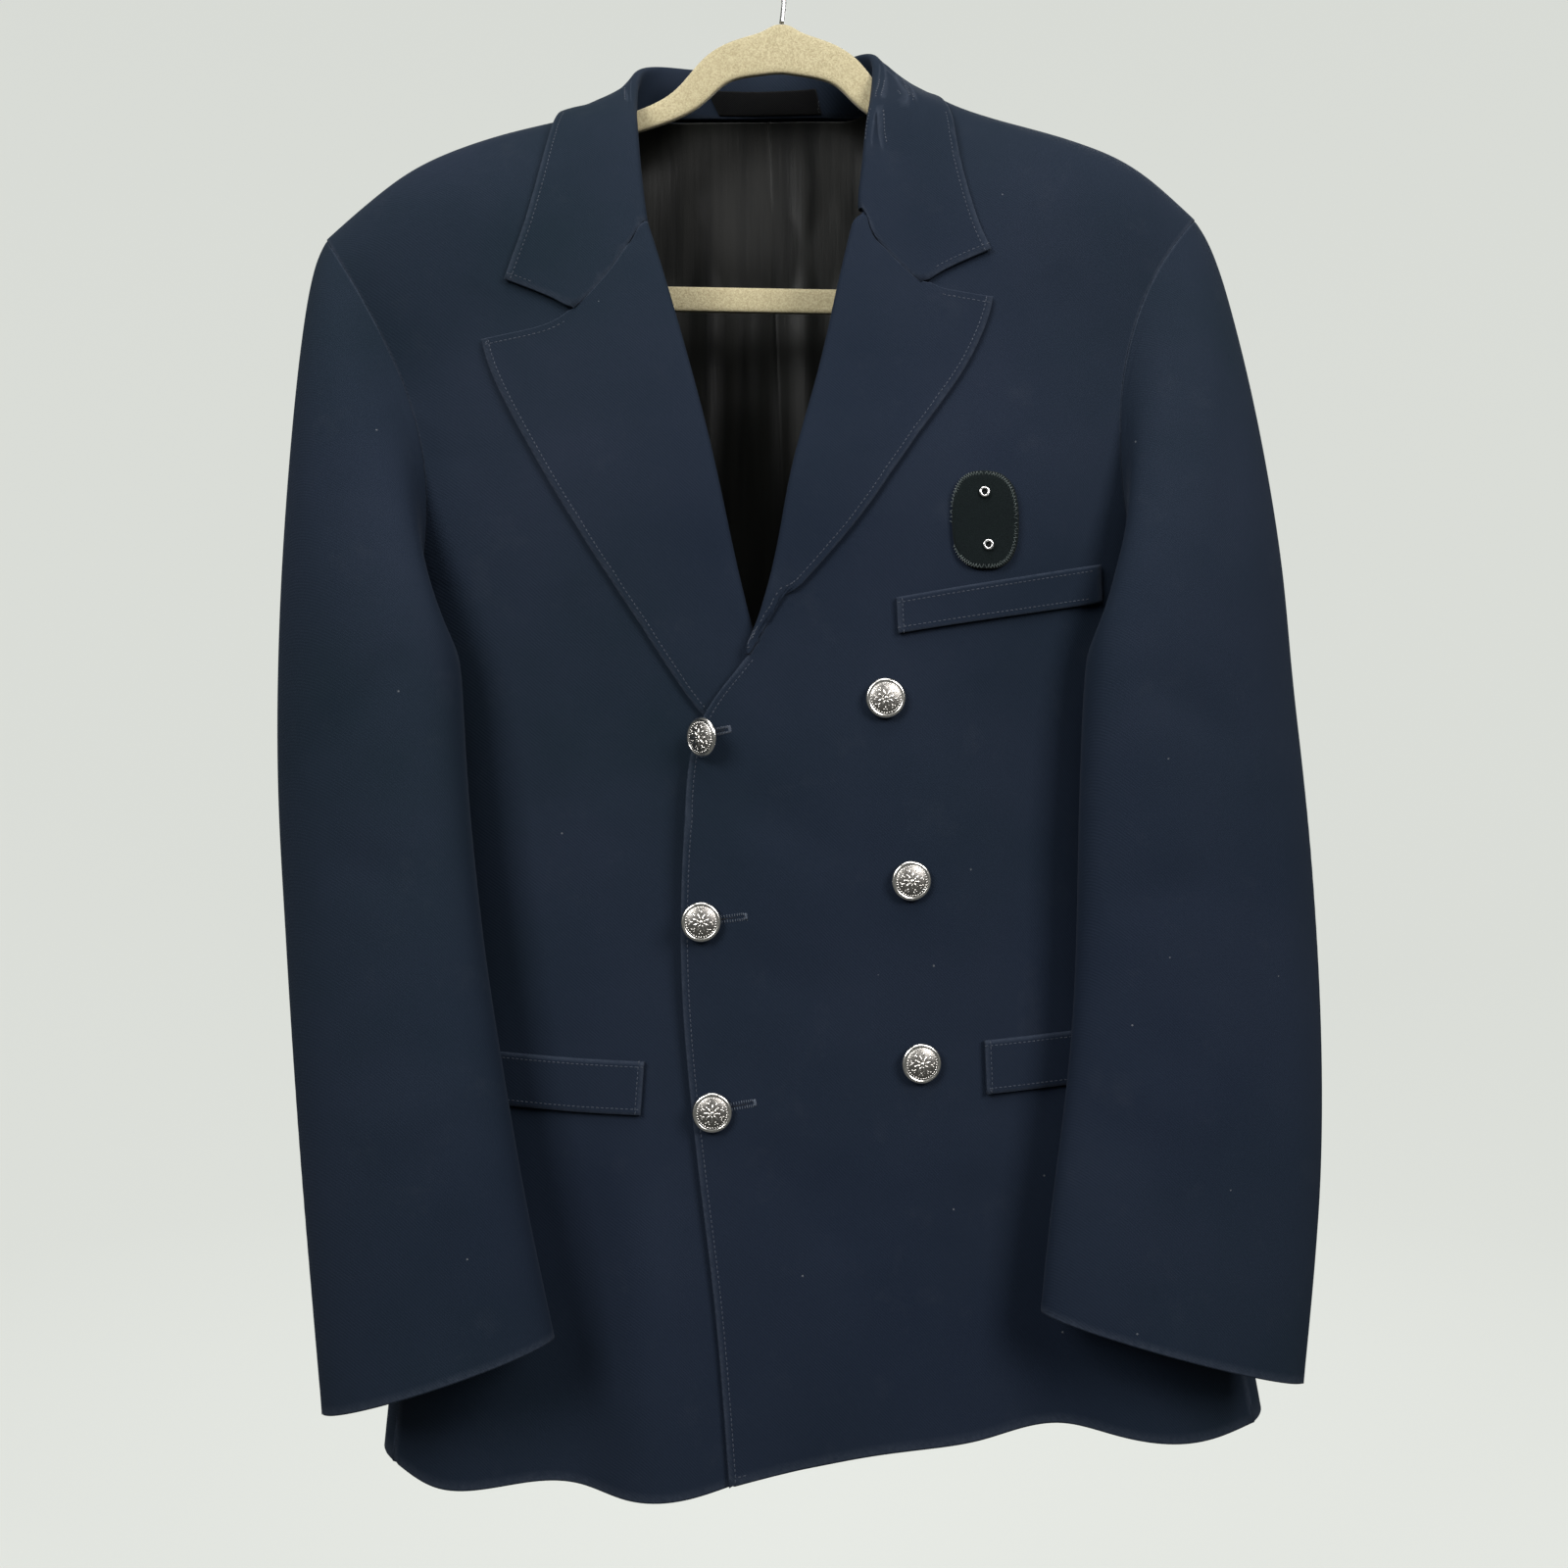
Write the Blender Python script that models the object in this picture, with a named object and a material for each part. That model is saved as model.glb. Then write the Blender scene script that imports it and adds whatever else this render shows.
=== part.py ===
"""Uniform jacket, double breasted with peak lapels, hung closed on a flocked hanger.

Metres, +Z up. The front faces -Y and the wearer's left is at +X. The origin is the
inside of the hanger hook's crown, so a height is written as how far down it lies.
Tables are in millimetres. Each cloth piece is a wall of its own.
"""
import math
from collections import namedtuple

import bpy
import numpy as np
from mathutils import Vector
from mathutils.bvhtree import BVHTree

MM = 0.001

# How things are pushed clear of the body: the samples of a grid's cell, the rounds, the
# slant beyond which a point counts as behind a face, and the deepest that it is looked for
CELL_SAMPLES = ((0,), (2,), (0, 1), (1, 2), (2, 3), (3, 0), (0, 2), (1, 3), (0, 1, 2, 3))
STAND_OFF_ROUNDS = 20
SMOOTH_ROUNDS = 15
SMOOTH_FROM = 0.8
BEHIND = 0.9
DEEPEST = 30
# How strongly a row's direction counts beside its place when a line is resampled
CREASE_WEIGHT = 40
ARMHOLE_WEIGHT = 30
COLLAR_DEEPEST = 6.4

# Cloth thicknesses and the gaps that pieces keep, in millimetres
WOOL = 2.0
SATIN = 1.0
LAYER_GAP = 0.6
TOUCH_GAP = 0.35
FLAP_GAP = 1.1
SEAM_TRIM = 0.25
FACING_MID = WOOL + LAYER_GAP + WOOL / 2
ROLL_RADIUS = 2.6
ROLL_INSET = 4.0
FACING_RETURN = 22.0
RETURN_SINK = 0.9
RETURN_START = 0.2
RETURN_ROWS = 3
LEAF_GAP = 1.7

# How far the closed over front stands off the under front, at the chest and at the hem
OVERLAP_LIFT = 9.0
OVERLAP_LIFT_HEM = 4.4

# Buttons, badge tab and eyelets
BUTTON_RADIUS = 11.2
BUTTON_SHANK = 2.4
BUTTON_SHANK_RADIUS = 2.0
BUTTON_TIP_CLEAR = 4.1
BUTTON_SINK = 0.7
BUTTON_CROWN = 4.2
# The button's face: how far in from its rim, and how high above its shank
BUTTON_FACE = [(1.0, 0.3), (0.0, 1.2), (0.2, 2.2), (2.4, 3.3)]
TAB_HALF_WIDTH = 19.0
TAB_HALF_HEIGHT = 27.5
TAB_FULLNESS = 2.7
EYELET_RADIUS = 2.3
EYELET_WIRE = 0.75
EYELET_SECTION = 6
EYELET_SIDES = 14
BUTTON_SIDES = 16

# Hanger
HANGER_THICKNESS = 5.5
HANGER_EDGE = 1.1
HANGER_TILT = math.radians(1.0)
ROD_RADIUS = 1.75
HOOK_RADIUS = 21.0
HOOK_FOOT = 79.4
# The rod's bend below its crown, in x and down, and the turns that its crown runs between
HOOK_BEND = [(0, 68), (0, 60), (2.5, 54), (8, 47)]
HOOK_TURNS = (-38, 200)
HOOK_STEPS = 20

# Rings of the body: where the middle and the sides lie, and how deep front and back are
Ring = namedtuple("Ring", "down centre half middle front back corner")
BODY_RINGS = [
    Ring(80, -12, 292, 0, 60, 50, 3.0),
    Ring(217, -12, 287, 0, 60, 50, 3.0),
    Ring(300, -5, 252, -1, 66, 54, 2.9),
    Ring(380, -2, 238, -3, 70, 56, 2.8),
    Ring(448, 0, 231, -4, 70, 57, 2.6),
    Ring(520, 3, 223, -5, 69, 58, 2.5),
    Ring(620, 7, 218, -6, 69, 58, 2.5),
    Ring(700, 12, 226, -7, 71, 60, 2.7),
    Ring(780, 18, 240, -8, 73, 62, 2.9),
    Ring(960, 26, 266, -10, 76, 66, 3.0),
]

# The crest of the shoulders, and of the neck under the collar
Crest = namedtuple("Crest", "x down")
CREST = [
    Crest(-310, 246), Crest(-276, 214), Crest(-254, 196), Crest(-226, 175), Crest(-199, 162),
    Crest(-164, 150), Crest(-120, 138), Crest(-100, 130), Crest(-88, 122), Crest(-74, 109),
    Crest(-58, 99), Crest(-20, 92), Crest(20, 92), Crest(38, 95), Crest(50, 103),
    Crest(67, 114), Crest(84, 123), Crest(100, 132), Crest(130, 143), Crest(170, 155),
    Crest(206, 169), Crest(230, 187), Crest(255, 209), Crest(290, 242),
]

# How far below the crest the front and the back reach their full depth
Round = namedtuple("Round", "x front back")
CREST_ROUND = [
    Round(-290, 60, 55), Round(-170, 75, 60), Round(-105, 170, 55), Round(-85, 200, 50),
    Round(0, 200, 50), Round(60, 200, 50), Round(85, 170, 55), Round(150, 75, 60),
    Round(290, 60, 55),
]

# Soft folds of the fronts and backs: place, width, height outwards, and their stretch
Fold = namedtuple("Fold", "side x lean width height top bottom")
FOLDS = [
    Fold("front", -74, 0.03, 26, 13, 700, 900),
    Fold("front", -121, 0.02, 26, -20, 690, 900),
    Fold("front", -180, 0.00, 30, 6, 720, 900),
    Fold("front", 150, 0.04, 34, -13, 660, 900),
    Fold("front", 205, 0.05, 28, 7, 700, 900),
    Fold("front", 60, 0.04, 46, 5, 740, 900),
    Fold("front", -150, -0.05, 30, -4, 380, 560),
    Fold("front", 150, 0.05, 34, -4, 400, 600),
    Fold("back", -110, 0.04, 42, 8, 560, 900),
    Fold("back", 0, 0.02, 34, -9, 520, 900),
    Fold("back", 130, 0.04, 46, 9, 560, 900),
]

# Seam and edge lines on the fronts and backs, in x and down
Spot = namedtuple("Spot", "x down")
SIDE_SEAM = 0.953
EDGE_SETBACK = 2.2
ARMHOLE_SIDE = 442
ARMHOLE_DIP = 452
ARMHOLE_TOP_DOWN = 340
ARMHOLE_TOP_ACROSS = 185

ROLL_OVER = [
    Spot(40, 215), Spot(29, 263), Spot(19, 310),
    Spot(3, 368), Spot(-4, 410), Spot(-13, 446), Spot(-24, 472),
]
ROLL_UNDER = [
    Spot(-77, 223), Spot(-64, 266),
    Spot(-55, 298), Spot(-46, 331), Spot(-38, 363), Spot(-27, 417), Spot(-18, 454),
    Spot(-5, 500), Spot(8, 548),
]
EDGE_OVER = [
    Spot(-28, 478), Spot(-36, 490), Spot(-46, 501), Spot(-54, 513), Spot(-58, 530),
    Spot(-55, 561), Spot(-57, 605), Spot(-59, 640),
    Spot(-54, 704), Spot(-48, 764), Spot(-39, 835), Spot(-31, 935),
]
EDGE_UNDER = [Spot(8, 554), Spot(34, 620), Spot(62, 700), Spot(76, 780), Spot(80, 905)]
HEM_OVER = [
    Spot(-31, 935), Spot(0, 927), Spot(33, 919), Spot(66, 913), Spot(101, 912),
    Spot(135, 907), Spot(160, 906), Spot(194, 914), Spot(229, 919), Spot(254, 919),
]
HEM_UNDER = [
    Spot(80, 905), Spot(20, 918), Spot(-24, 934), Spot(-56, 942), Spot(-74, 944),
    Spot(-90, 945), Spot(-104, 946), Spot(-121, 940), Spot(-147, 940), Spot(-170, 944),
    Spot(-205, 948),
]
HEM_SIDE_LEFT = 916
HEM_SIDE_RIGHT = 938
HEM_BACK_CENTRE = 926
BACK_CENTRE_X = -10
BACK_SEAM_LEAN = 30

TIP_LEFT_X = 249
TIP_RIGHT_X = -277
ARMHOLE_FRONT_RIGHT = [
    Spot(-264, 233), Spot(-248, 258), Spot(-232, 288), Spot(-217, 322), Spot(-208, 358),
    Spot(-207, 395), Spot(-212, 425),
]
ARMHOLE_FRONT_LEFT = [
    Spot(234, 222), Spot(219, 243), Spot(206, 270), Spot(197, 305), Spot(194, 345),
    Spot(198, 390), Spot(208, 422),
]
ARMHOLE_BACK_RIGHT = [Spot(-258, 250), Spot(-238, 300), Spot(-228, 350), Spot(-224, 405)]
ARMHOLE_BACK_LEFT = [Spot(240, 240), Spot(226, 295), Spot(216, 350), Spot(214, 405)]

# Lapel leaves: the gorge up to the notch, the top of the peak, and the outer edge
GORGE_OVER = [Spot(54, 237), Spot(78, 260)]
PEAK_TOP_OVER = [Spot(98, 264), Spot(119, 267)]
LAPEL_EDGE_OVER = [
    Spot(117, 278), Spot(106, 304), Spot(91, 327), Spot(70, 356), Spot(43, 396), Spot(22, 420),
    Spot(6, 438), Spot(-5, 451), Spot(-16, 465),
]
GORGE_UNDER = [Spot(-100, 254), Spot(-119, 275)]
PEAK_TOP_UNDER = [Spot(-136, 284), Spot(-173, 290)]
LAPEL_EDGE_UNDER = [
    Spot(-171, 298), Spot(-166, 313), Spot(-152, 340), Spot(-131, 377), Spot(-110, 411),
    Spot(-95, 434), Spot(-82, 453), Spot(-65, 480), Spot(-51, 502), Spot(-24, 528),
    Spot(0, 545),
]

# The collar's fold from the under front round the neck to the over front.
# A row with no depth lies on the front; out_x, out_y and out_z point from stand to fall.
Crease = namedtuple("Crease", "x depth down out_x out_y out_z")
CREASE = [
    Crease(-82, None, 220, 0, 0, 0), Crease(-86, None, 190, 0, 0, 0),
    Crease(-89, None, 160, 0, 0, 0), Crease(-92, -14, 135, -0.75, -0.6, 0.3),
    Crease(-92, 4, 114, -0.95, -0.1, 0.3), Crease(-88, 20, 101, -0.8, 0.55, 0.2),
    Crease(-76, 34, 94, -0.45, 0.88, 0.1), Crease(-56, 43, 92, -0.15, 0.98, 0.1),
    Crease(-20, 47, 92, 0, 1, 0.1), Crease(15, 44, 91, 0.15, 0.98, 0.1),
    Crease(36, 35, 90, 0.5, 0.86, 0.1), Crease(51, 20, 92, 0.85, 0.5, 0.2),
    Crease(57, 3, 103, 0.95, -0.1, 0.3), Crease(56, -14, 127, 0.75, -0.6, 0.3),
    Crease(51, None, 158, 0, 0, 0), Crease(48, None, 188, 0, 0, 0),
    Crease(45, None, 212, 0, 0, 0),
]
Rim = namedtuple("Rim", "side x down")
COLLAR_EDGE = [
    Rim("front", -160, 257), Rim("front", -155, 242), Rim("front", -148, 221),
    Rim("front", -140, 186), Rim("front", -136, 162), Rim("front", -133, 149),
    Rim("front", -131, 142), Rim("back", -128, 142.5), Rim("back", -119, 147),
    Rim("back", -92, 145), Rim("back", -58, 140), Rim("back", -18, 138),
    Rim("back", 25, 137), Rim("back", 58, 139), Rim("back", 80, 139),
    Rim("back", 90, 131), Rim("front", 93, 130), Rim("front", 94, 139),
    Rim("front", 96, 160),
    Rim("front", 100, 180), Rim("front", 104, 199), Rim("front", 111, 221),
    Rim("front", 119, 240),
]
# The neck seam, row for row below the crease: the stand's foot and the edge of the body
NECK_SEAM = [
    Rim("front", -93, 224), Rim("front", -99, 192), Rim("front", -101.5, 163),
    Rim("front", -102, 144), Rim("front", -101, 130.8), Rim("back", -92, 130.5),
    Rim("back", -76, 126), Rim("back", -54, 122), Rim("back", -20, 121),
    Rim("back", 15, 120.5), Rim("back", 36, 121), Rim("back", 53, 123),
    Rim("front", 68, 115), Rim("front", 70, 138), Rim("front", 70, 163),
    Rim("front", 64, 190), Rim("front", 54, 217),
]
NECK_SIDE_RIGHT = 4
NECK_SIDE_LEFT = 12
NECK_CENTRE = 8
FOOT_GAP = 2.2
FALL_GAP = 2.15
COLLAR_LOFT = 1.6
LOFT_FROM = 150
LOFT_TO = 215
COLLAR_TIP_UNDER = [Spot(-140, 265)]
COLLAR_TIP_OVER = [Spot(98, 249)]

# Sleeves below the armhole: centre, half sizes, and the turn of the long axis
Cuff = namedtuple("Cuff", "down x y long short turn")
SLEEVE_RIGHT_RINGS = [
    Cuff(478, -240, -56, 66, 36, 33), Cuff(545, -237, -62, 66, 35, 30),
    Cuff(602, -231, -68, 65, 34, 27), Cuff(657, -224, -76, 64, 33, 23),
    Cuff(723, -214, -85, 64, 32, 18), Cuff(792, -203, -93, 64, 31, 13),
    Cuff(870, -190, -98, 66, 29, 7),
]
SLEEVE_LEFT_RINGS = [
    Cuff(478, 234, -56, 72, 36, 28), Cuff(545, 235, -62, 74, 34, 21),
    Cuff(602, 235, -68, 74, 32, 16), Cuff(658, 234, -75, 74, 29, 12),
    Cuff(713, 231, -82, 75, 27, 10), Cuff(766, 225, -89, 76, 26, 8),
    Cuff(820, 218, -94, 76, 25, 7), Cuff(855, 214, -96, 75, 24, 6),
]
CUFF_SLANT_RIGHT = 23
CUFF_SLANT_LEFT = 22
SLEEVE_TIP_TURN = -135
SLEEVE_HIND_SEAM = -168
SLEEVE_FORE_SEAM = 24
SLEEVE_HEAD_RISE = 13
SLEEVE_TRIM = 0.45
SLEEVE_GAP = 2.7
SLEEVE_GAP_SKIRT = 6.5
SKIRT_FROM = 600
SKIRT_TO = 660
# The sleeve's head: how it leaves the armhole's edge, and how it then falls
ARMHOLE_POINTS = 30
ARMHOLE_SIDE_POINTS = 12
ARMHOLE_SIDE_SHARES = (0.08, 0.92)
HEAD_OUT = 0.6
HEAD_FALL_TOP = 0.35
HEAD_FALL_MORE = 0.5
HEAD_LIFT = 0.4
HEAD_LIFT_LOW = 2.2
HEAD_LEAD = 0.9
HEAD_BEND = 0.4
HEAD_DROP = 0.42

# What is sewn on the fronts: four corners from the inner top, clockwise on the viewer's right
FLAP_RIGHT = [Spot(-198, 697), Spot(-78, 701), Spot(-80, 731), Spot(-200, 727)]
FLAP_LEFT = [Spot(111, 689), Spot(218, 682), Spot(220, 712), Spot(112, 719)]
BREAST_WELT = [Spot(62, 441), Spot(180, 419), Spot(181, 441), Spot(63, 461)]
TAB_CENTRE = Spot(112, 397)
EYELETS = {"eyelet_upper": Spot(111, 382), "eyelet_lower": Spot(113, 411)}
Button = namedtuple("Button", "name x down swing nod")
BUTTONS = [
    Button("button_edge_top", -43, 519, -40, 3), Button("button_edge_middle", -46, 622, 6, 2),
    Button("button_edge_low", -40, 728, 4, 3), Button("button_far_top", 56, 497, 2, 2),
    Button("button_far_middle", 70, 599, 3, 3), Button("button_far_low", 76, 701, 4, 2),
]
LABEL_START_X = -41
LABEL_END_X = 25
LABEL_LOW = 0.06
LABEL_HIGH = 0.62

# Hanger outline, right half, from the middle of the top round to the middle of the bar
HANGER_OUTER = [
    Spot(0, 80), Spot(6, 81), Spot(12, 86), Spot(31, 90.5), Spot(46, 99.5), Spot(54, 109.5),
    Spot(61, 118.5), Spot(70, 127), Spot(86, 134.5), Spot(104, 140.5), Spot(120, 144),
    Spot(165, 156.8), Spot(200, 170), Spot(213, 177), Spot(220, 183), Spot(223, 190),
    Spot(220, 198), Spot(209, 213),
    Spot(198, 240), Spot(186, 253), Spot(170, 257), Spot(80, 257), Spot(0, 257),
]
HANGER_INNER = [
    Spot(0, 110), Spot(8, 111), Spot(16, 112), Spot(28, 114), Spot(36, 118.5), Spot(43, 126),
    Spot(52, 134), Spot(66, 141), Spot(84, 147), Spot(102, 152.5), Spot(117, 157),
    Spot(157, 169), Spot(186, 181), Spot(195, 186), Spot(199, 190), Spot(200, 194),
    Spot(198, 200), Spot(192, 212),
    Spot(181, 232), Spot(174, 240), Spot(164, 242), Spot(80, 242), Spot(0, 242),
]

Finish = namedtuple("Finish", "colour roughness metallic")
FINISHES = {
    "wool": Finish((0.012, 0.018, 0.034), 0.85, 0.0),
    "satin": Finish((0.017, 0.018, 0.017), 0.45, 0.0),
    "woven_label": Finish((0.008, 0.008, 0.009), 0.6, 0.0),
    "felt": Finish((0.006, 0.010, 0.012), 0.95, 0.0),
    "flock": Finish((0.60, 0.52, 0.29), 0.95, 0.0),
    "silver": Finish((0.75, 0.74, 0.72), 0.22, 1.0),
    "steel": Finish((0.70, 0.70, 0.70), 0.2, 1.0),
}


def clear_scene():
    for thing in list(bpy.data.objects):
        bpy.data.objects.remove(thing, do_unlink=True)


def ease(start, end, value):
    t = min(max((value - start) / (end - start), 0.0), 1.0)
    return t * t * (3 - 2 * t)


def read_rows(rows, value):
    """Smooth values of every column at one value of the first column."""
    keys = [row[0] for row in rows]
    value = min(max(value, keys[0]), keys[-1])
    i = min(max(int(np.searchsorted(keys, value)) - 1, 0), len(rows) - 2)
    span = keys[i + 1] - keys[i]
    t = (value - keys[i]) / span
    here, there = np.array(rows[i], float), np.array(rows[i + 1], float)
    before = np.array(rows[max(i - 1, 0)], float)
    after = np.array(rows[min(i + 2, len(rows) - 1)], float)
    slope_here = (there - before) / (there[0] - before[0]) * span
    slope_there = (after - here) / (after[0] - here[0]) * span
    a, b = 2 * t**3 - 3 * t**2 + 1, t**3 - 2 * t**2 + t
    c, d = -2 * t**3 + 3 * t**2, t**3 - t**2
    return a * here + b * slope_here + c * there + d * slope_there


def ring_at(down):
    return Ring(*read_rows(BODY_RINGS, down))


def crest_at(x):
    return read_rows(CREST, x)[1]


def fold_height(side, x, down):
    total = 0.0
    for fold in FOLDS:
        if fold.side != side:
            continue
        middle = fold.x + fold.lean * (down - fold.bottom)
        total += (fold.height * ease(fold.top, fold.bottom, down)
                  * math.exp(-((x - middle) / fold.width) ** 2))
    return total


def body_skin(x, down, side):
    """Depth of the body at a place, in millimetres."""
    ring = ring_at(down)
    across = min(abs(x - ring.centre) / ring.half, 1.0)
    bow = (1 - across ** ring.corner) ** (1 / ring.corner)
    rounding = read_rows(CREST_ROUND, x)
    reach = rounding[1] if side == "front" else rounding[2]
    t = min(max((down - crest_at(x)) / reach, 0.0), 1.0)
    swell = math.sqrt(1 - (1 - t) ** 2)
    depth = (ring.front if side == "front" else ring.back) * bow * swell
    depth += fold_height(side, x, down) * bow
    return ring.middle - depth if side == "front" else ring.middle + depth


def raw_point(x, down, side):
    return np.array((x, body_skin(x, down, side), -down))


def body_normal(x, down, side):
    step = 1.5
    low = max(down, crest_at(x) + 0.4)
    along_x = raw_point(x + step, low, side) - raw_point(x - step, low, side)
    along_z = raw_point(x, low, side) - raw_point(x, low + 2 * step, side)
    normal = np.cross(along_x, along_z)
    if side == "back":
        normal = -normal
    return normal / np.linalg.norm(normal)


def body_point(x, down, height, side="front"):
    """A point that stands off the body's skin by a height, in millimetres."""
    down = max(down, crest_at(x))
    return raw_point(x, down, side) + body_normal(x, down, side) * height


def seam_x(down, sign):
    ring = ring_at(down)
    return ring.centre + sign * SIDE_SEAM * ring.half


def side_point(turn, down, height):
    """A point of the body round its side; the turn is 90 at the left side, -90 at the right."""
    def at(turn_at, down_at):
        ring = ring_at(down_at)
        s, c = math.sin(math.radians(turn_at)), math.cos(math.radians(turn_at))
        x = ring.centre + ring.half * math.copysign(abs(s) ** (2 / ring.corner), s)
        bow = abs(c) ** (2 / ring.corner)
        side = "front" if c > 0 else "back"
        depth = (ring.front if c > 0 else ring.back) + fold_height(side, x, down_at)
        return np.array((x, ring.middle - math.copysign(depth * bow, c), -down_at))
    step_turn, step_down = 0.5, 1.0
    along = at(turn + step_turn, down) - at(turn - step_turn, down)
    up = at(turn, down - step_down) - at(turn, down + step_down)
    normal = np.cross(along, up)
    return at(turn, down) + normal / np.linalg.norm(normal) * height


def seam_turn(corner, sign, side):
    """The turn round the ring at which the side seams lie."""
    turn = math.degrees(math.asin(SIDE_SEAM ** (corner / 2)))
    return sign * (turn if side == "front" else 180 - turn)


def over_lift(x, down):
    """How far the over front stands off the skin, where it covers the under front."""
    lift = OVERLAP_LIFT + (OVERLAP_LIFT_HEM - OVERLAP_LIFT) * ease(590, 700, down)
    return lift * (1 - ease(95, 195, x)) * ease(290, 390, down)


def no_lift(x, down):
    return 0.0


def resample(points, count, smooth=True, crowd=False):
    """Points along a line through the given ones, evenly or crowded to both its ends."""
    points = np.array(points, float)
    if smooth and len(points) > 2:
        points = round_line(points)
    steps = np.linalg.norm(np.diff(points, axis=0), axis=1)
    reach = np.concatenate(([0.0], np.cumsum(steps)))
    shares = np.linspace(0, 1, count)
    if crowd:
        shares = (1 - np.cos(math.pi * shares)) / 2
    wanted = reach[-1] * shares
    return np.stack([np.interp(wanted, reach, column) for column in points.T], axis=1)


def round_line(points, parts=12):
    """Fine points of a smooth curve through every given point."""
    fine = []
    last = len(points) - 1
    for i in range(last):
        before, here = points[max(i - 1, 0)], points[i]
        there, after = points[i + 1], points[min(i + 2, last)]
        for k in range(parts):
            t = k / parts
            fine.append(0.5 * (2 * here + (there - before) * t
                               + (2 * before - 5 * here + 4 * there - after) * t**2
                               + (3 * here - before - 3 * there + after) * t**3))
    fine.append(points[last])
    return np.array(fine)


def join_lines(*lines):
    """One line from several that share their end points."""
    parts = [lines[0]] + [line[1:] for line in lines[1:]]
    return np.concatenate(parts)


def patch(top, bottom, left, right):
    """A grid between four lines; rows run from top to bottom, columns from left to right."""
    rows, columns = len(left), len(top)
    v = np.linspace(0, 1, rows)[:, None, None]
    u = np.linspace(0, 1, columns)[None, :, None]
    ruled_v = (1 - v) * top[None, :, :] + v * bottom[None, :, :]
    ruled_u = (1 - u) * left[:, None, :] + u * right[:, None, :]
    corners = ((1 - v) * (1 - u) * top[0] + (1 - v) * u * top[-1]
               + v * (1 - u) * bottom[0] + v * u * bottom[-1])
    return ruled_v + ruled_u - corners


def grid_normals(grid, closed=False):
    """Normals of a grid of points; closed joins its last column to its first."""
    work = np.concatenate((grid[:, -1:], grid, grid[:, :1]), axis=1) if closed else grid
    along = np.gradient(work, axis=1)
    down = np.gradient(work, axis=0)
    normal = np.cross(down, along)
    length = np.linalg.norm(normal, axis=2, keepdims=True)
    normal = normal / np.maximum(length, 1e-9)
    return normal[:, 1:-1] if closed else normal


def trim(grid, sides, amount=SEAM_TRIM):
    """Draw the named sides of a grid in by a seam's half gap."""
    grid = grid.copy()
    for side in sides:
        rim, inner = {
            "left": ((slice(None), 0), (slice(None), 1)),
            "right": ((slice(None), -1), (slice(None), -2)),
            "top": ((0, slice(None)), (1, slice(None))),
            "bottom": ((-1, slice(None)), (-2, slice(None))),
        }[side]
        step = grid[inner] - grid[rim]
        length = np.maximum(np.linalg.norm(step, axis=1, keepdims=True), 1e-6)
        grid[rim] = grid[rim] + step * (amount / length)
    return grid


def material(name):
    found = bpy.data.materials.get(name)
    if found:
        return found
    finish = FINISHES[name]
    made = bpy.data.materials.new(name)
    made.use_nodes = True
    shader = made.node_tree.nodes["Principled BSDF"]
    shader.inputs["Base Color"].default_value = (*finish.colour, 1.0)
    shader.inputs["Roughness"].default_value = finish.roughness
    shader.inputs["Metallic"].default_value = finish.metallic
    made.diffuse_color = (*finish.colour, 1.0)
    return made


def add_object(name, points, faces, finish, smooth=True):
    """An object from points in millimetres, with its faces turned outwards."""
    mesh = bpy.data.meshes.new(name)
    mesh.from_pydata([tuple(float(c) * MM for c in p) for p in points], [], faces)
    mesh.validate()
    if signed_volume(mesh) < 0:
        mesh.flip_normals()
    if smooth:
        mesh.shade_smooth()
        mesh.set_sharp_from_angle(angle=math.radians(50))
    mesh.materials.append(material(finish))
    made = bpy.data.objects.new(name, mesh)
    bpy.context.scene.collection.objects.link(made)
    return made


def signed_volume(mesh):
    mesh.calc_loop_triangles()
    total = 0.0
    for triangle in mesh.loop_triangles:
        a, b, c = (mesh.vertices[i].co for i in triangle.vertices)
        total += a.dot(b.cross(c))
    return total


def add_wall(name, outer, inner, finish="wool"):
    """A closed wall between two grids of the same shape."""
    rows, columns = outer.shape[:2]
    size = rows * columns
    points = list(outer.reshape(-1, 3)) + list(inner.reshape(-1, 3))
    faces = []
    for r in range(rows - 1):
        for c in range(columns - 1):
            a, b = r * columns + c, r * columns + c + 1
            d, e = a + columns, b + columns
            faces.append((a, b, e, d))
            faces.append((a + size, d + size, e + size, b + size))
    rim = [(0, c) for c in range(columns)] + [(r, columns - 1) for r in range(1, rows)]
    rim += [(rows - 1, c) for c in range(columns - 2, -1, -1)] + [(r, 0) for r in range(rows - 2, 0, -1)]
    for (r0, c0), (r1, c1) in zip(rim, rim[1:] + rim[:1]):
        a, b = r0 * columns + c0, r1 * columns + c1
        faces.append((b, a, a + size, b + size))
    return add_object(name, points, faces, finish)


def wall_from_spots(name, grid, side, heights, finish="wool", lift=no_lift, trims=()):
    """A wall over a grid of x and down, between two heights above the skin."""
    walls = []
    for height in heights:
        walls.append(np.array([[body_point(x, d, lift(x, d) + height, side) for x, d in row]
                               for row in grid]))
    outer, inner = trim(walls[1], trims), trim(walls[0], trims)
    add_wall(name, outer, inner, finish)
    return outer, inner


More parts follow.
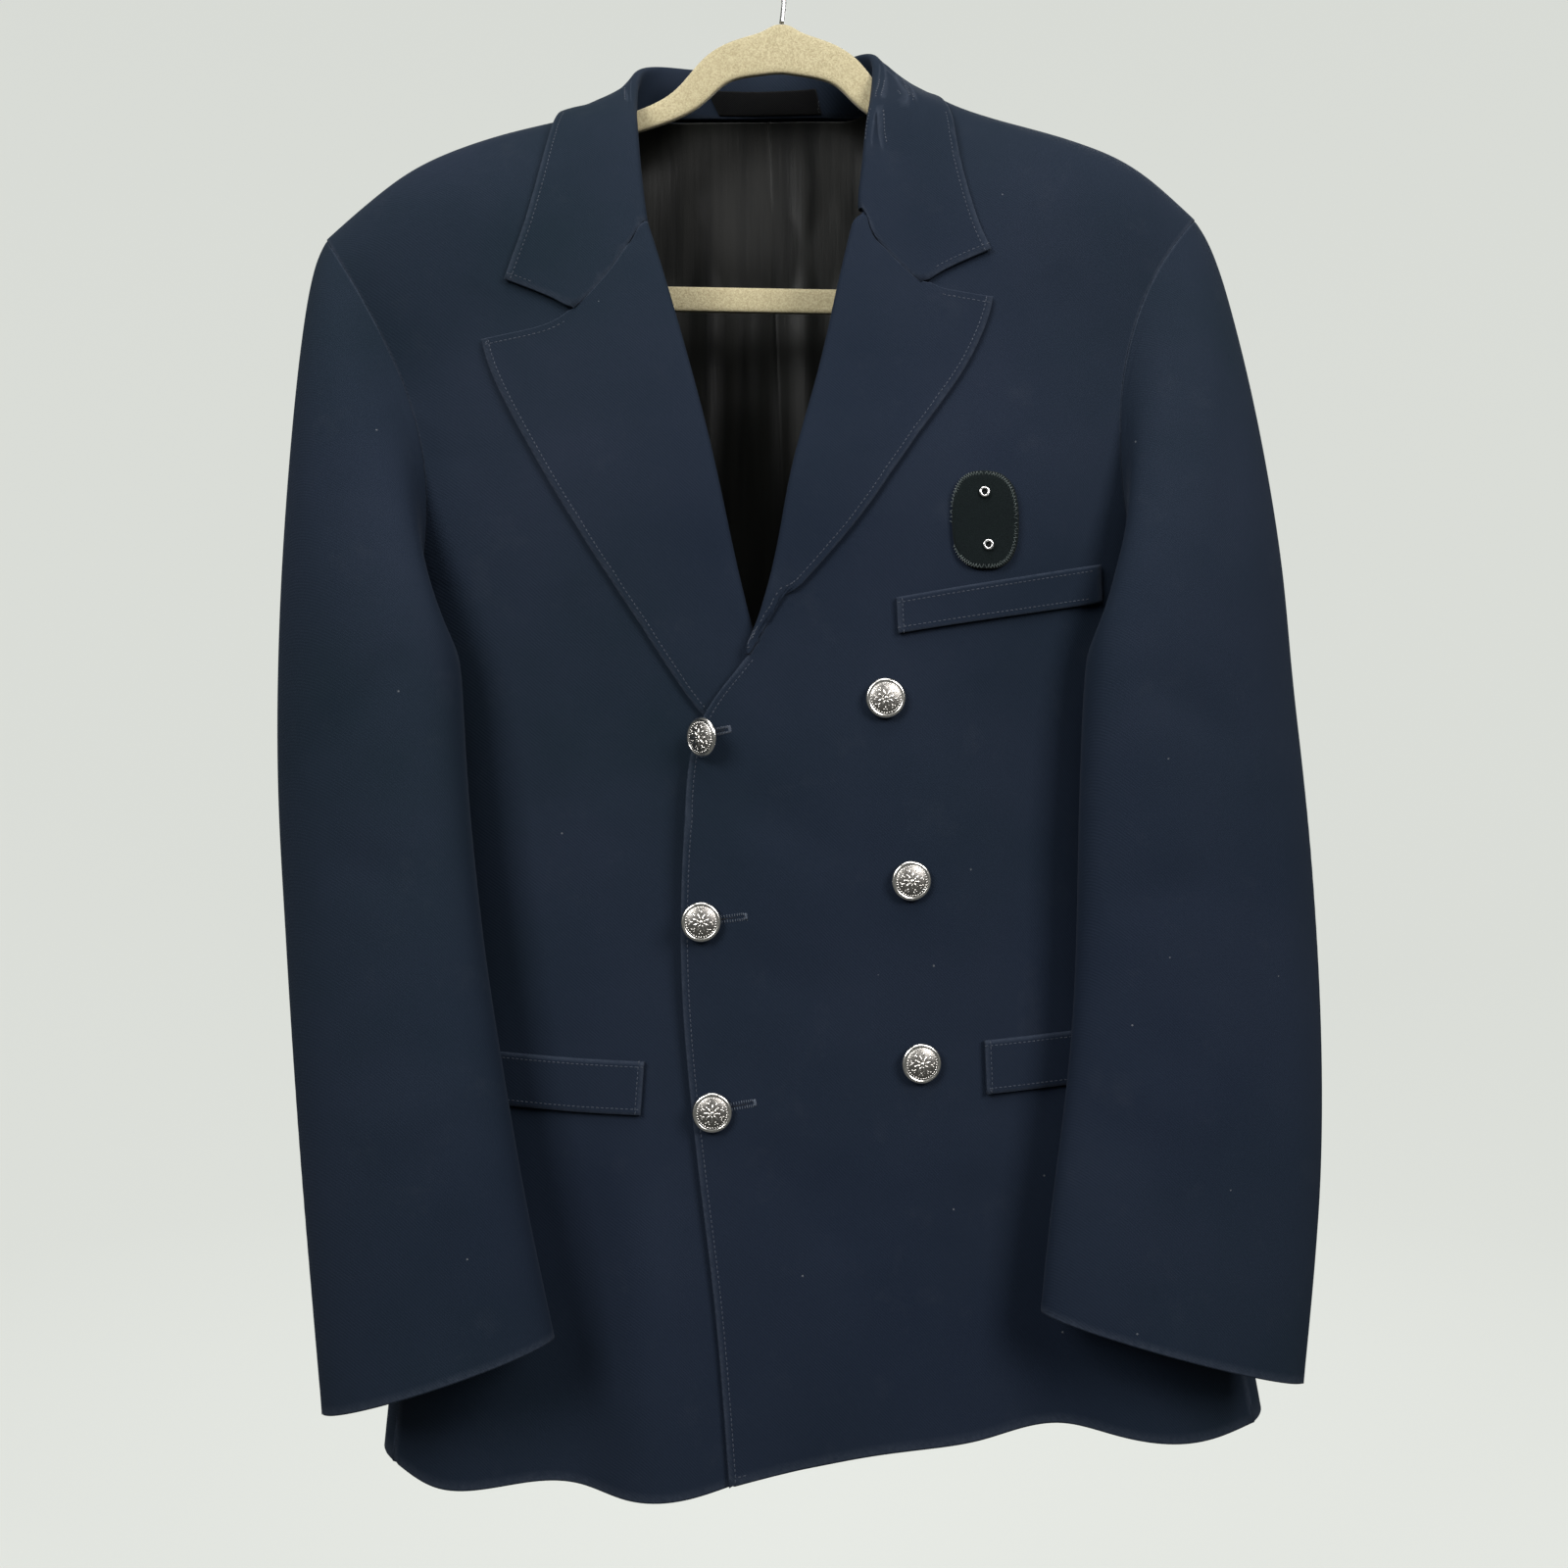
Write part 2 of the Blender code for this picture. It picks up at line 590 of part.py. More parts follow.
def shell_tree(shells):
    """A search tree over the outer faces of walls, each face turned outwards."""
    points, faces = [], []
    for outer, inner in shells:
        first = len(points)
        rows, columns = outer.shape[:2]
        points.extend(Vector(point) for point in outer.reshape(-1, 3))
        for r in range(rows - 1):
            for c in range(columns - 1):
                corner = outer[r, c]
                way = np.cross(outer[r, c + 1] - corner, outer[r + 1, c] - corner)
                start = first + r * columns + c
                face = (start, start + 1, start + columns + 1, start + columns)
                outwards = float(np.dot(way, corner - inner[r, c])) > 0
                faces.append(face if outwards else face[::-1])
    return BVHTree.FromPolygons(points, faces)


def inside_body(point):
    """Whether a point lies within the body's skin, outside its armholes' tops."""
    x, y, down = point[0], point[1], -point[2]
    ring = ring_at(down)
    across = abs(x - ring.centre)
    if down < crest_at(x) or across > ring.half:
        return False
    if down < ARMHOLE_TOP_DOWN and across > ARMHOLE_TOP_ACROSS:
        return False
    return body_skin(x, down, "front") < y < body_skin(x, down, "back")


def way_off(sample, tree, distance, deepest):
    """The step that takes a point to its distance from the shells."""
    near, normal, _, gap = tree.find_nearest(Vector(sample))
    if gap < 1e-6 or gap > deepest:
        return np.zeros(3)
    away = (Vector(sample) - near) / gap
    if away.dot(normal) < -BEHIND or inside_body(sample):
        return np.array(away) * -(distance + gap)
    return np.array(away) * max(distance - gap, 0.0)


def extended(grid, closed):
    """A grid with one more row and column on every side."""
    if closed:
        wide = np.concatenate((grid[:, -1:], grid, grid[:, :1]), axis=1)
    else:
        before, after = 2 * grid[:, :1] - grid[:, 1:2], 2 * grid[:, -1:] - grid[:, -2:-1]
        wide = np.concatenate((before, grid, after), axis=1)
    above, below = 2 * wide[:1] - wide[1:2], 2 * wide[-1:] - wide[-2:-1]
    return np.concatenate((above, wide, below), axis=0)


def relax(grid, chosen, closed):
    """Ease the chosen points towards the middle of their neighbours."""
    wide = extended(grid, closed)
    middle = (wide[:-2, 1:-1] + wide[2:, 1:-1] + wide[1:-1, :-2] + wide[1:-1, 2:]) / 4
    return np.where(chosen[:, :, None], (grid + middle) / 2, grid)


def stand_off(grid, tree, distance_at, fixed_rows, closed=False, deepest=DEEPEST):
    """Push a grid out until its corners, edges and middles all stand off the shells."""
    grid = grid.copy()
    rows, columns = grid.shape[:2]
    spans = columns if closed else columns - 1
    moved = np.zeros((rows, columns), bool)
    for turn in range(STAND_OFF_ROUNDS):
        if turn < SMOOTH_ROUNDS:
            grid = relax(grid, moved, closed)
        push = np.zeros(grid.shape)
        for r in range(rows - 1):
            for c in range(spans):
                d = (c + 1) % columns
                cell = ((r, c), (r, d), (r + 1, d), (r + 1, c))
                for sample in CELL_SAMPLES:
                    chosen = [cell[k] for k in sample]
                    point = sum(grid[at] for at in chosen) / len(chosen)
                    step = way_off(point, tree, distance_at(point), deepest)
                    for at in chosen:
                        if np.dot(step, step) > np.dot(push[at], push[at]):
                            push[at] = step
        push[:fixed_rows] = 0
        moved |= np.linalg.norm(push, axis=2) > SMOOTH_FROM
        if not closed:
            moved[:, (0, -1)] = False
        grid = grid + push
    return grid


def armhole(sign, side):
    """The armhole's line on one front or back, from the shoulder's tip down to the side seam."""
    tip_x = TIP_LEFT_X if sign > 0 else TIP_RIGHT_X
    rows = {(1, "front"): ARMHOLE_FRONT_LEFT, (-1, "front"): ARMHOLE_FRONT_RIGHT,
            (1, "back"): ARMHOLE_BACK_LEFT, (-1, "back"): ARMHOLE_BACK_RIGHT}[(sign, side)]
    start = Spot(tip_x, crest_at(tip_x))
    end = Spot(seam_x(ARMHOLE_SIDE, sign), ARMHOLE_SIDE)
    return [start] + rows + [end]


def seam_line(sign, hem, count):
    downs = np.linspace(ARMHOLE_SIDE, hem, count)
    return np.array([(seam_x(d, sign), d) for d in downs])


def hem_side(sign):
    return HEM_SIDE_LEFT if sign > 0 else HEM_SIDE_RIGHT


def roll_centre(roll, sign):
    """The line that the lapel turns about, a little outside its visible roll."""
    fine = round_line(np.array(roll, float))
    return fine + np.array((sign * ROLL_INSET, 0.0))


def crest_line(start_x, end_x, count):
    return np.array([(x, crest_at(x)) for x in np.linspace(start_x, end_x, count)])


def neck_line(first, last):
    """The neck seam between two of its rows, in x and down."""
    rows = NECK_SEAM[first:last + 1]
    line = [(rim.x, max(rim.down, crest_at(rim.x))) for rim in rows]
    corner = 0 if first in (NECK_SIDE_RIGHT, NECK_SIDE_LEFT) else -1
    line[corner] = (line[corner][0], crest_at(line[corner][0]))
    return np.array(line)


def make_fronts():
    columns, upper, lower = 12, 17, 10
    shells = []
    for name, sign, roll, edge, hem, lift in (
            ("front_left", 1, ROLL_OVER, EDGE_OVER, HEM_OVER, over_lift),
            ("front_right", -1, ROLL_UNDER, EDGE_UNDER, HEM_UNDER, no_lift)):
        centre = roll_centre(roll, sign) + np.array((sign * EDGE_SETBACK, 0.0))
        if sign > 0:
            neck = neck_line(NECK_SIDE_LEFT, len(NECK_SEAM) - 1)
        else:
            neck = neck_line(0, NECK_SIDE_RIGHT)[::-1]
        past_gorge = centre[centre[:, 1] > neck[-1][1] + 14]
        upper_line = np.concatenate((round_line(neck), past_gorge))
        inner = join_lines(resample(upper_line, upper, smooth=False, crowd=True),
                           resample(np.concatenate((centre[-1:], np.array(edge, float))), lower))
        outer = join_lines(resample(armhole(sign, "front"), upper, crowd=True),
                           seam_line(sign, hem_side(sign), lower))
        top = crest_line(neck[0][0], outer[0][0], columns)
        bottom = resample(list(hem) + [Spot(*outer[-1])], columns)
        bottom[0] = inner[-1]
        if sign > 0:
            grid = patch(top, bottom, inner, outer)
            trims = ("top", "right")
        else:
            grid = patch(top[::-1], bottom[::-1], outer, inner)
            trims = ("top", "left")
        shells.append(wall_from_spots(name, grid, "front", (0, WOOL), lift=lift, trims=trims))
    return shells


def make_sides():
    turns, rows = 6, 12
    shells = []
    for name, sign in (("side_left", 1), ("side_right", -1)):
        hem = hem_side(sign)
        levels = np.linspace(0, 1, rows)
        walls = []
        for height in (0, WOOL):
            grid = []
            for level in levels:
                row = []
                for share in np.linspace(0, 1, turns):
                    dip = (ARMHOLE_DIP - ARMHOLE_SIDE) * math.sin(math.pi * share)
                    down = (ARMHOLE_SIDE + dip) * (1 - level) + hem * level
                    corner = ring_at(down).corner
                    fore, hind = seam_turn(corner, sign, "front"), seam_turn(corner, sign, "back")
                    row.append(side_point(fore + (hind - fore) * share, down, height))
                grid.append(row)
            walls.append(trim(np.array(grid), ("left", "right", "top")))
        add_wall(name, walls[1], walls[0])
        shells.append((walls[1], walls[0]))
    return shells


def back_grid(sign):
    """The places of a back and of its lining."""
    columns, upper, lower, neck_columns = 11, 12, 10, 5
    if sign > 0:
        neck = neck_line(NECK_CENTRE, NECK_SIDE_LEFT)
    else:
        neck = neck_line(NECK_SIDE_RIGHT, NECK_CENTRE)[::-1]
    neck[0] = (BACK_CENTRE_X, neck[0][1])
    neck = resample(neck, neck_columns)
    tip_x = TIP_LEFT_X if sign > 0 else TIP_RIGHT_X
    shoulder = crest_line(neck[-1][0], tip_x, columns - neck_columns + 1)
    shoulder[0] = neck[-1]
    top = join_lines(neck, shoulder)
    hem_centre = np.array((BACK_CENTRE_X + BACK_SEAM_LEAN, HEM_BACK_CENTRE))
    waist = top[0] * 0.6 + hem_centre * 0.4
    inner = join_lines(resample([top[0], waist], upper, crowd=True),
                       resample([waist, hem_centre], lower))
    outer = join_lines(resample(armhole(sign, "back"), upper, crowd=True),
                       seam_line(sign, hem_side(sign), lower))
    bottom = resample([Spot(*inner[-1]), Spot(*outer[-1])], columns)
    return patch(top, bottom, inner, outer)


def make_backs():
    trims = ("left", "right", "top")
    return [wall_from_spots(name, back_grid(sign), "back", (0, WOOL), trims=trims)
            for name, sign in (("back_left", 1), ("back_right", -1))]


def make_linings():
    """Satin behind the back, from the collar's foot to short of the hem and the seams."""
    for name, sign in (("lining_left", 1), ("lining_right", -1)):
        grid = back_grid(sign)[:-1, :-1]
        heights = (-LAYER_GAP - SATIN, -LAYER_GAP)
        wall_from_spots(name, grid, "back", heights, finish="satin", trims=("left",))


def folded_section(centre, out, up, radius, steps):
    """Points of a half turn from the stand's side to the fall's side."""
    turns = np.linspace(0, math.pi, steps)
    return [centre + radius * (-math.cos(t) * out + math.sin(t) * up) for t in turns]


def unit(vector):
    return vector / np.linalg.norm(vector)


def add_folded(name, mid):
    """A wall about a middle grid."""
    normals = grid_normals(mid)
    half = WOOL / 2
    add_wall(name, mid + normals * half, mid - normals * half)


def leaf_gap(point):
    return LEAF_GAP


def make_lapels(tree):
    rows, leaf_columns, return_columns, turn_steps = 15, 8, 3, 5
    for name, sign, roll, gorge, peak, edge, lift in (
            ("lapel_left", 1, ROLL_OVER, GORGE_OVER, PEAK_TOP_OVER, LAPEL_EDGE_OVER, over_lift),
            ("lapel_right", -1, ROLL_UNDER, GORGE_UNDER, PEAK_TOP_UNDER, LAPEL_EDGE_UNDER, no_lift)):
        centre = roll_centre(roll, sign)
        line = resample(centre, rows, smooth=False, crowd=True)
        gorge_part = resample([Spot(*line[0])] + list(gorge), leaf_columns - 3, smooth=False)
        top = join_lines(gorge_part, resample([gorge[-1]] + list(peak), 4, smooth=False))
        outer = resample([peak[-1]] + list(edge), rows, crowd=True)
        bottom = resample([Spot(*line[-1]), Spot(*outer[-1])], leaf_columns)
        leaf = trim(patch(top, bottom, line, outer), ("top",), 0.5)
        folds, leaves = [], []
        for r in range(rows):
            x, down = leaf[r][0]
            base = lift(x, down)
            spot = body_point(x, down, base + WOOL / 2)
            out = unit(body_point(x, down, 1) - body_point(x, down, 0))
            before, after = leaf[max(r - 1, 0)][0], leaf[min(r + 1, rows - 1)][0]
            run = unit(body_point(*after, base) - body_point(*before, base))
            up = unit(np.cross(run, out)) * sign
            reach = FACING_RETURN * (RETURN_START + (1 - RETURN_START) * ease(0, RETURN_ROWS, r))
            inward = [spot - (ROLL_RADIUS + RETURN_SINK * share) * out - up * reach * share
                      for share in np.linspace(1, 1 / return_columns, return_columns)]
            turned = folded_section(spot, out, up, ROLL_RADIUS, turn_steps)
            over = [body_point(*leaf[r][c], lift(*leaf[r][c]) + FACING_MID)
                    for c in range(1, leaf_columns)]
            folds.append(inward + turned[:-1])
            leaves.append([turned[-1]] + over)
        leaves = stand_off(np.transpose(np.array(leaves), (1, 0, 2)), tree, leaf_gap, 1)
        add_folded(name, np.concatenate((np.array(folds), np.transpose(leaves, (1, 0, 2))), axis=1))


def surface_rim(rims, height, count):
    points = [body_point(rim.x, rim.down, height, rim.side) for rim in rims]
    return resample(points, count)


def crease_rows():
    """Centres and outward directions of the collar's fold at its table's rows."""
    rows = []
    for crease in CREASE:
        if crease.depth is None:
            centre = body_point(crease.x, crease.down, WOOL / 2)
            out = body_normal(crease.x, crease.down, "front")
        else:
            centre = np.array((crease.x, crease.depth, -crease.down), float)
            out = unit(np.array((crease.out_x, crease.out_y, crease.out_z)))
        rows.append(np.concatenate((centre, out * CREASE_WEIGHT)))
    return np.array(rows)


def collar_gap(point):
    """How far the fall's middle stands off the body: more over the shoulder's ridge."""
    return FALL_GAP + COLLAR_LOFT * (1 - ease(LOFT_FROM, LOFT_TO, -point[2]))


def make_collar(tree):
    stations, leaf_columns, foot_columns, turn_steps = 37, 7, 2, 5
    rows = resample(crease_rows(), stations)
    centres = rows[:, :3]
    outs = [unit(row[3:]) for row in rows]
    runs = np.gradient(centres, axis=0)
    starts = np.array([c + ROLL_RADIUS * o for c, o in zip(centres, outs)])
    rim = surface_rim(COLLAR_EDGE, FACING_MID, stations)
    seam = surface_rim(NECK_SEAM, WOOL / 2, stations)
    ends = []
    for gorge, tip, spot, start in ((GORGE_UNDER, COLLAR_TIP_UNDER, COLLAR_EDGE[0], starts[0]),
                                    (GORGE_OVER, COLLAR_TIP_OVER, COLLAR_EDGE[-1], starts[-1])):
        way = list(gorge) + list(tip) + [Spot(spot.x, spot.down)]
        points = [start] + [body_point(x, d, FACING_MID) for x, d in way]
        notch = len(gorge)
        ends.append(join_lines(resample(points[:notch + 1], leaf_columns - 3, smooth=False),
                               resample(points[notch:], 4, smooth=False)))
    leaf = stand_off(patch(starts, rim, ends[0], ends[1]), tree, collar_gap, 1,
                     deepest=COLLAR_DEEPEST)
    leaf = trim(np.transpose(leaf, (1, 0, 2)), ("top", "bottom"), 0.5)
    grid, stand = [], []
    for s in range(stations):
        up = unit(np.cross(runs[s], outs[s]))
        turned = folded_section(centres[s], outs[s], up, ROLL_RADIUS, turn_steps)
        foot = seam[s] + unit(turned[0] - seam[s]) * FOOT_GAP
        legs = [foot + (turned[0] - foot) * k / foot_columns for k in range(foot_columns)]
        stand.append((foot, turned[0], outs[s]))
        grid.append(legs + turned + list(leaf[s][1:]))
    add_folded("collar", np.array(grid))
    make_label(stand)


def make_label(stand):
    """A woven label on the inside of the collar's stand."""
    order = sorted(range(len(stand)), key=lambda i: stand[i][0][0])
    xs = [stand[i][0][0] for i in order]
    rows = np.array([np.concatenate(stand[i]) for i in order])
    walls = []
    for depth in (WOOL / 2 + 0.4, WOOL / 2 + 0.4 + SATIN):
        grid = []
        for share in np.linspace(LABEL_HIGH, LABEL_LOW, 3):
            line = []
            for x in np.linspace(LABEL_START_X, LABEL_END_X, 9):
                row = np.array([np.interp(x, xs, column) for column in rows.T])
                foot, top, out = row[:3], row[3:6], unit(row[6:])
                line.append(foot + (top - foot) * share - out * depth)
            grid.append(line)
        walls.append(np.array(grid))
    add_wall("label", walls[0], walls[1], "woven_label")


def sleeve_ring(rings, down, sign, slant, steps):
    """Points round the sleeve at one level, from the table's rings."""
    cuff = Cuff(*read_rows(rings, down))
    turn = math.radians(cuff.turn)
    long_axis = np.array((-sign * math.cos(turn), -math.sin(turn)))
    short_axis = np.array((-sign * math.sin(turn), math.cos(turn)))
    points = []
    for angle in steps:
        a = math.radians(angle)
        flat = long_axis * cuff.long * math.cos(a) + short_axis * cuff.short * math.sin(a)
        drop = slant * (-math.cos(a))
        points.append(np.array((cuff.x + flat[0], cuff.y + flat[1], -(down + drop))))
    return points


def sleeve_angles(count):
    return [SLEEVE_TIP_TURN + 360 * i / count for i in range(count)]


def armhole_loop(sign, count):
    """Points round the armhole from the shoulder's tip by the front, with the ways out."""
    points, outs = [], []
    for spot in resample(armhole(sign, "front"), ARMHOLE_POINTS):
        points.append(body_point(spot[0], spot[1], WOOL, "front"))
        outs.append(body_normal(spot[0], spot[1], "front"))
    for share in np.linspace(*ARMHOLE_SIDE_SHARES, ARMHOLE_SIDE_POINTS):
        dip = (ARMHOLE_DIP - ARMHOLE_SIDE) * math.sin(math.pi * share)
        down = ARMHOLE_SIDE + dip
        fore, hind = (seam_turn(ring_at(down).corner, sign, side) for side in ("front", "back"))
        turn = fore + (hind - fore) * share
        points.append(side_point(turn, down, WOOL))
        outs.append(side_point(turn, down, 1) - side_point(turn, down, 0))
    for spot in resample(armhole(sign, "back"), ARMHOLE_POINTS)[::-1]:
        points.append(body_point(spot[0], spot[1], WOOL, "back"))
        outs.append(body_normal(spot[0], spot[1], "back"))
    rows = np.concatenate((np.array(points), np.array(outs) * ARMHOLE_WEIGHT), axis=1)
    loop = resample(rows, count + 1, smooth=False)[:-1]
    return [(row[:3], unit(row[3:])) for row in loop]


def sleeve_gap(point):
    """How far the sleeve's outside stands off the body: more over the hip flaps."""
    return SLEEVE_GAP + (SLEEVE_GAP_SKIRT - SLEEVE_GAP) * ease(SKIRT_FROM, SKIRT_TO, -point[2])


def make_sleeves(tree):
    count, head_rows, arm_rows = 22, 7, 10
    for side_name, sign, rings, slant in (("left", 1, SLEEVE_LEFT_RINGS, CUFF_SLANT_LEFT),
                                          ("right", -1, SLEEVE_RIGHT_RINGS, CUFF_SLANT_RIGHT)):
        angles = sleeve_angles(count)
        first = sleeve_ring(rings, rings[0].down, sign, 0, angles)
        head = np.zeros((head_rows, count, 3))
        for j, (start, out) in enumerate(armhole_loop(sign, count)):
            share = 1 - abs(2 * j / count - 1)
            outwards = np.array((sign, 0.0, 0.0))
            fall = np.array((0, 0, -1)) * (HEAD_FALL_TOP + HEAD_FALL_MORE * share)
            way = unit(out * HEAD_OUT + outwards * (1 - share) + fall)
            start = start + out * (HEAD_LIFT + HEAD_LIFT_LOW * ease(0.5, 0.8, share)) + way * HEAD_LEAD
            end = first[j]
            span = np.linalg.norm(end - start)
            bend = start + way * min(SLEEVE_HEAD_RISE, span * HEAD_BEND)
            above = end + np.array((0, 0, 1)) * span * HEAD_DROP
            for i, t in enumerate(np.linspace(0, 1, head_rows)):
                head[i, j] = ((1 - t)**3 * start + 3 * (1 - t)**2 * t * bend
                              + 3 * (1 - t) * t**2 * above + t**3 * end)
        arm = []
        for down in np.linspace(rings[0].down, rings[-1].down, arm_rows)[1:]:
            lean = slant * (down - rings[0].down) / (rings[-1].down - rings[0].down)
            arm.append(sleeve_ring(rings, down, sign, lean, angles))
        grid = np.concatenate((head, np.array(arm)))
        grid = stand_off(grid, tree, sleeve_gap, 1, closed=True)
        normals = grid_normals(grid, closed=True)
        middle = grid.mean(axis=1, keepdims=True)
        if float(np.sum(normals[-3] * (grid[-3] - middle[-3]))) < 0:
            normals = -normals
        inner = grid - normals * WOOL
        seams = [int(round(((turn - SLEEVE_TIP_TURN) % 360) / 360 * count))
                 for turn in (SLEEVE_HIND_SEAM, SLEEVE_FORE_SEAM)]
        hind, fore = seams
        top = [j % count for j in range(hind, fore + count + 1)]
        under = list(range(fore, hind + 1))
        for part, chosen in (("top", top), ("under", under)):
            name = f"sleeve_{side_name}_{part}"
            add_wall(name, trim(grid[:, chosen], ("left", "right"), SLEEVE_TRIM),
                     trim(inner[:, chosen], ("left", "right"), SLEEVE_TRIM))


def corner_grid(corners, columns, rows):
    """A grid of x and down between four corners: top left, top right, low right, low left."""
    a, b, c, d = (np.array(corner, float) for corner in corners)
    return patch(np.linspace(a, b, columns), np.linspace(d, c, columns),
                 np.linspace(a, d, rows), np.linspace(b, c, rows))


def make_pockets():
    heights = (WOOL + FLAP_GAP, 2 * WOOL + FLAP_GAP)
    wall_from_spots("flap_left", corner_grid(FLAP_LEFT, 11, 4), "front", heights, lift=over_lift)
    wall_from_spots("flap_right", corner_grid(FLAP_RIGHT, 11, 4), "front", heights)
    wall_from_spots("breast_welt", corner_grid(BREAST_WELT, 9, 4), "front", heights, lift=over_lift)


def on_front(x, down, height):
    return body_point(x, down, over_lift(x, down) + height)


def tab_rim(turn, share):
    """A place on the tab's outline: an oval with fuller sides than an ellipse."""
    across, along = math.cos(turn), math.sin(turn)
    power = 2 / TAB_FULLNESS
    return (TAB_CENTRE.x + TAB_HALF_WIDTH * share * math.copysign(abs(across) ** power, across),
            TAB_CENTRE.down + TAB_HALF_HEIGHT * share * math.copysign(abs(along) ** power, along))


def make_badge_tab():
    rim_count, rings = 24, 3
    walls = []
    for height in (WOOL + LAYER_GAP, 2 * WOOL + LAYER_GAP):
        rows = []
        for share in np.linspace(1, 0.05, rings):
            rows.append([on_front(*tab_rim(turn, share), height)
                         for turn in np.linspace(0, 2 * math.pi, rim_count, endpoint=False)])
        walls.append(rows)
    points, faces = [], []
    for rows in walls:
        for row in rows:
            points.extend(row)
    layer = rings * rim_count
    for w in range(2):
        for r in range(rings - 1):
            for c in range(rim_count):
                a = w * layer + r * rim_count + c
                b = w * layer + r * rim_count + (c + 1) % rim_count
                quad = (a, b, b + rim_count, a + rim_count)
                faces.append(quad if w else quad[::-1])
        last = [w * layer + (rings - 1) * rim_count + c for c in range(rim_count)]
        faces.append(tuple(last if w else last[::-1]))
    for c in range(rim_count):
        a, b = c, (c + 1) % rim_count
        faces.append((a, b, b + layer, a + layer))
    add_object("badge_tab", points, faces, "felt")


def turned(name, profile, segments, base, axis, finish, closed=True):
    """A turned piece from radius and height pairs, standing on a base along an axis."""
    axis = unit(axis)
    side = unit(np.cross(axis, np.array((0.0, 0.0, 1.0))))
    other = np.cross(axis, side)
    points, faces = [], []
    for radius, height in profile:
        for k in range(segments):
            a = 2 * math.pi * k / segments
            points.append(base + axis * height + radius * (math.cos(a) * side + math.sin(a) * other))
    count = len(profile)
    spans = count if not closed else count - 1
    for i in range(spans):
        for k in range(segments):
            a, b = i * segments + k, i * segments + (k + 1) % segments
            c, d = ((i + 1) % count) * segments + (k + 1) % segments, ((i + 1) % count) * segments + k
            faces.append((a, b, c, d))
    if closed:
        faces.append(tuple(range(segments))[::-1])
        faces.append(tuple(range((count - 1) * segments, count * segments)))
    add_object(name, points, faces, finish)


def make_eyelets():
    for name, spot in EYELETS.items():
        base = on_front(spot.x, spot.down, 2 * WOOL + LAYER_GAP)
        axis = on_front(spot.x, spot.down, 10) - on_front(spot.x, spot.down, 0)
        ring = [(EYELET_RADIUS + EYELET_WIRE * math.cos(a),
                 EYELET_WIRE + TOUCH_GAP + EYELET_WIRE * math.sin(a))
                for a in np.linspace(0, 2 * math.pi, EYELET_SECTION, endpoint=False)]
        turned(name, ring, EYELET_SIDES, base, axis, "silver", closed=False)


def make_buttons():
    for button in BUTTONS:
        axis = unit(on_front(button.x, button.down, 20) - on_front(button.x, button.down, 0))
        swing, nod = math.radians(button.swing), math.radians(button.nod)
        turned_axis = np.array((axis[0] * math.cos(swing) - axis[1] * math.sin(swing),
                                axis[0] * math.sin(swing) + axis[1] * math.cos(swing),
                                axis[2] - math.sin(nod)))
        rise = abs(math.sin(swing)) * (BUTTON_RADIUS - BUTTON_TIP_CLEAR)
        base = on_front(button.x, button.down, WOOL + rise)
        face = [(BUTTON_RADIUS - inset, BUTTON_SHANK + height) for inset, height in BUTTON_FACE]
        shank = [(BUTTON_SHANK_RADIUS, TOUCH_GAP - rise * BUTTON_SINK),
                 (BUTTON_SHANK_RADIUS, BUTTON_SHANK)]
        crown = [(BUTTON_SHANK_RADIUS, BUTTON_SHANK + BUTTON_CROWN)]
        turned(button.name, shank + face + crown, BUTTON_SIDES, base, turned_axis, "silver")


def tilt(x, down):
    """Turn a place of the hanger about the hook."""
    c, s = math.cos(HANGER_TILT), math.sin(HANGER_TILT)
    return x * c - down * s, down * c + x * s


def hanger_section(width):
    """The hanger's rounded section: how far in from its outer edge, and the depth."""
    half, edge = HANGER_THICKNESS / 2, HANGER_EDGE
    front = [(0, edge - half), (edge, -half), (width - edge, -half), (width, edge - half)]
    return front + [(inset, -depth) for inset, depth in front[::-1]]


def make_hanger_body():
    """A flat closed loop with rounded edges: shoulders above, bar below."""
    outer = np.array(HANGER_OUTER, float)
    inner = np.array(HANGER_INNER, float)
    mirror = np.array((-1.0, 1.0))
    outer = np.concatenate((outer, (outer * mirror)[-2:0:-1]))
    inner = np.concatenate((inner, (inner * mirror)[-2:0:-1]))
    points, faces = [], []
    for a, b in zip(outer, inner):
        width = np.linalg.norm(b - a)
        section = hanger_section(width)
        for inset, y in section:
            x, down = tilt(*(a + (b - a) * inset / width))
            points.append((x, y, -down))
    count, ring = len(outer), len(section)
    for i in range(count):
        for k in range(ring):
            j, m = (i + 1) % count, (k + 1) % ring
            faces.append((i * ring + k, i * ring + m, j * ring + m, j * ring + k))
    add_object("hanger_body", points, faces, "flock")


def hook_points():
    """The rod's middle line: shank, bend and crown, ending in a tip."""
    centre_down = HOOK_RADIUS - ROD_RADIUS
    arc = [(HOOK_RADIUS * math.cos(a), centre_down - HOOK_RADIUS * math.sin(a))
           for a in np.radians(np.linspace(*HOOK_TURNS, HOOK_STEPS))]
    line = round_line(np.array([tilt(0, HOOK_FOOT)] + HOOK_BEND + arc, float), 2)
    return [(x, 0.0, -down) for x, down in line]


def make_hanger_hook():
    curve = bpy.data.curves.new("hanger_hook", "CURVE")
    curve.dimensions = "3D"
    curve.bevel_depth = ROD_RADIUS * MM
    curve.bevel_resolution = 1
    curve.use_fill_caps = True
    line = hook_points()
    spline = curve.splines.new("POLY")
    spline.points.add(len(line) - 1)
    for point, place in zip(spline.points, line):
        point.co = (*(float(c) * MM for c in place), 1.0)
    curve.materials.append(material("steel"))
    made = bpy.data.objects.new("hanger_hook", curve)
    bpy.context.scene.collection.objects.link(made)


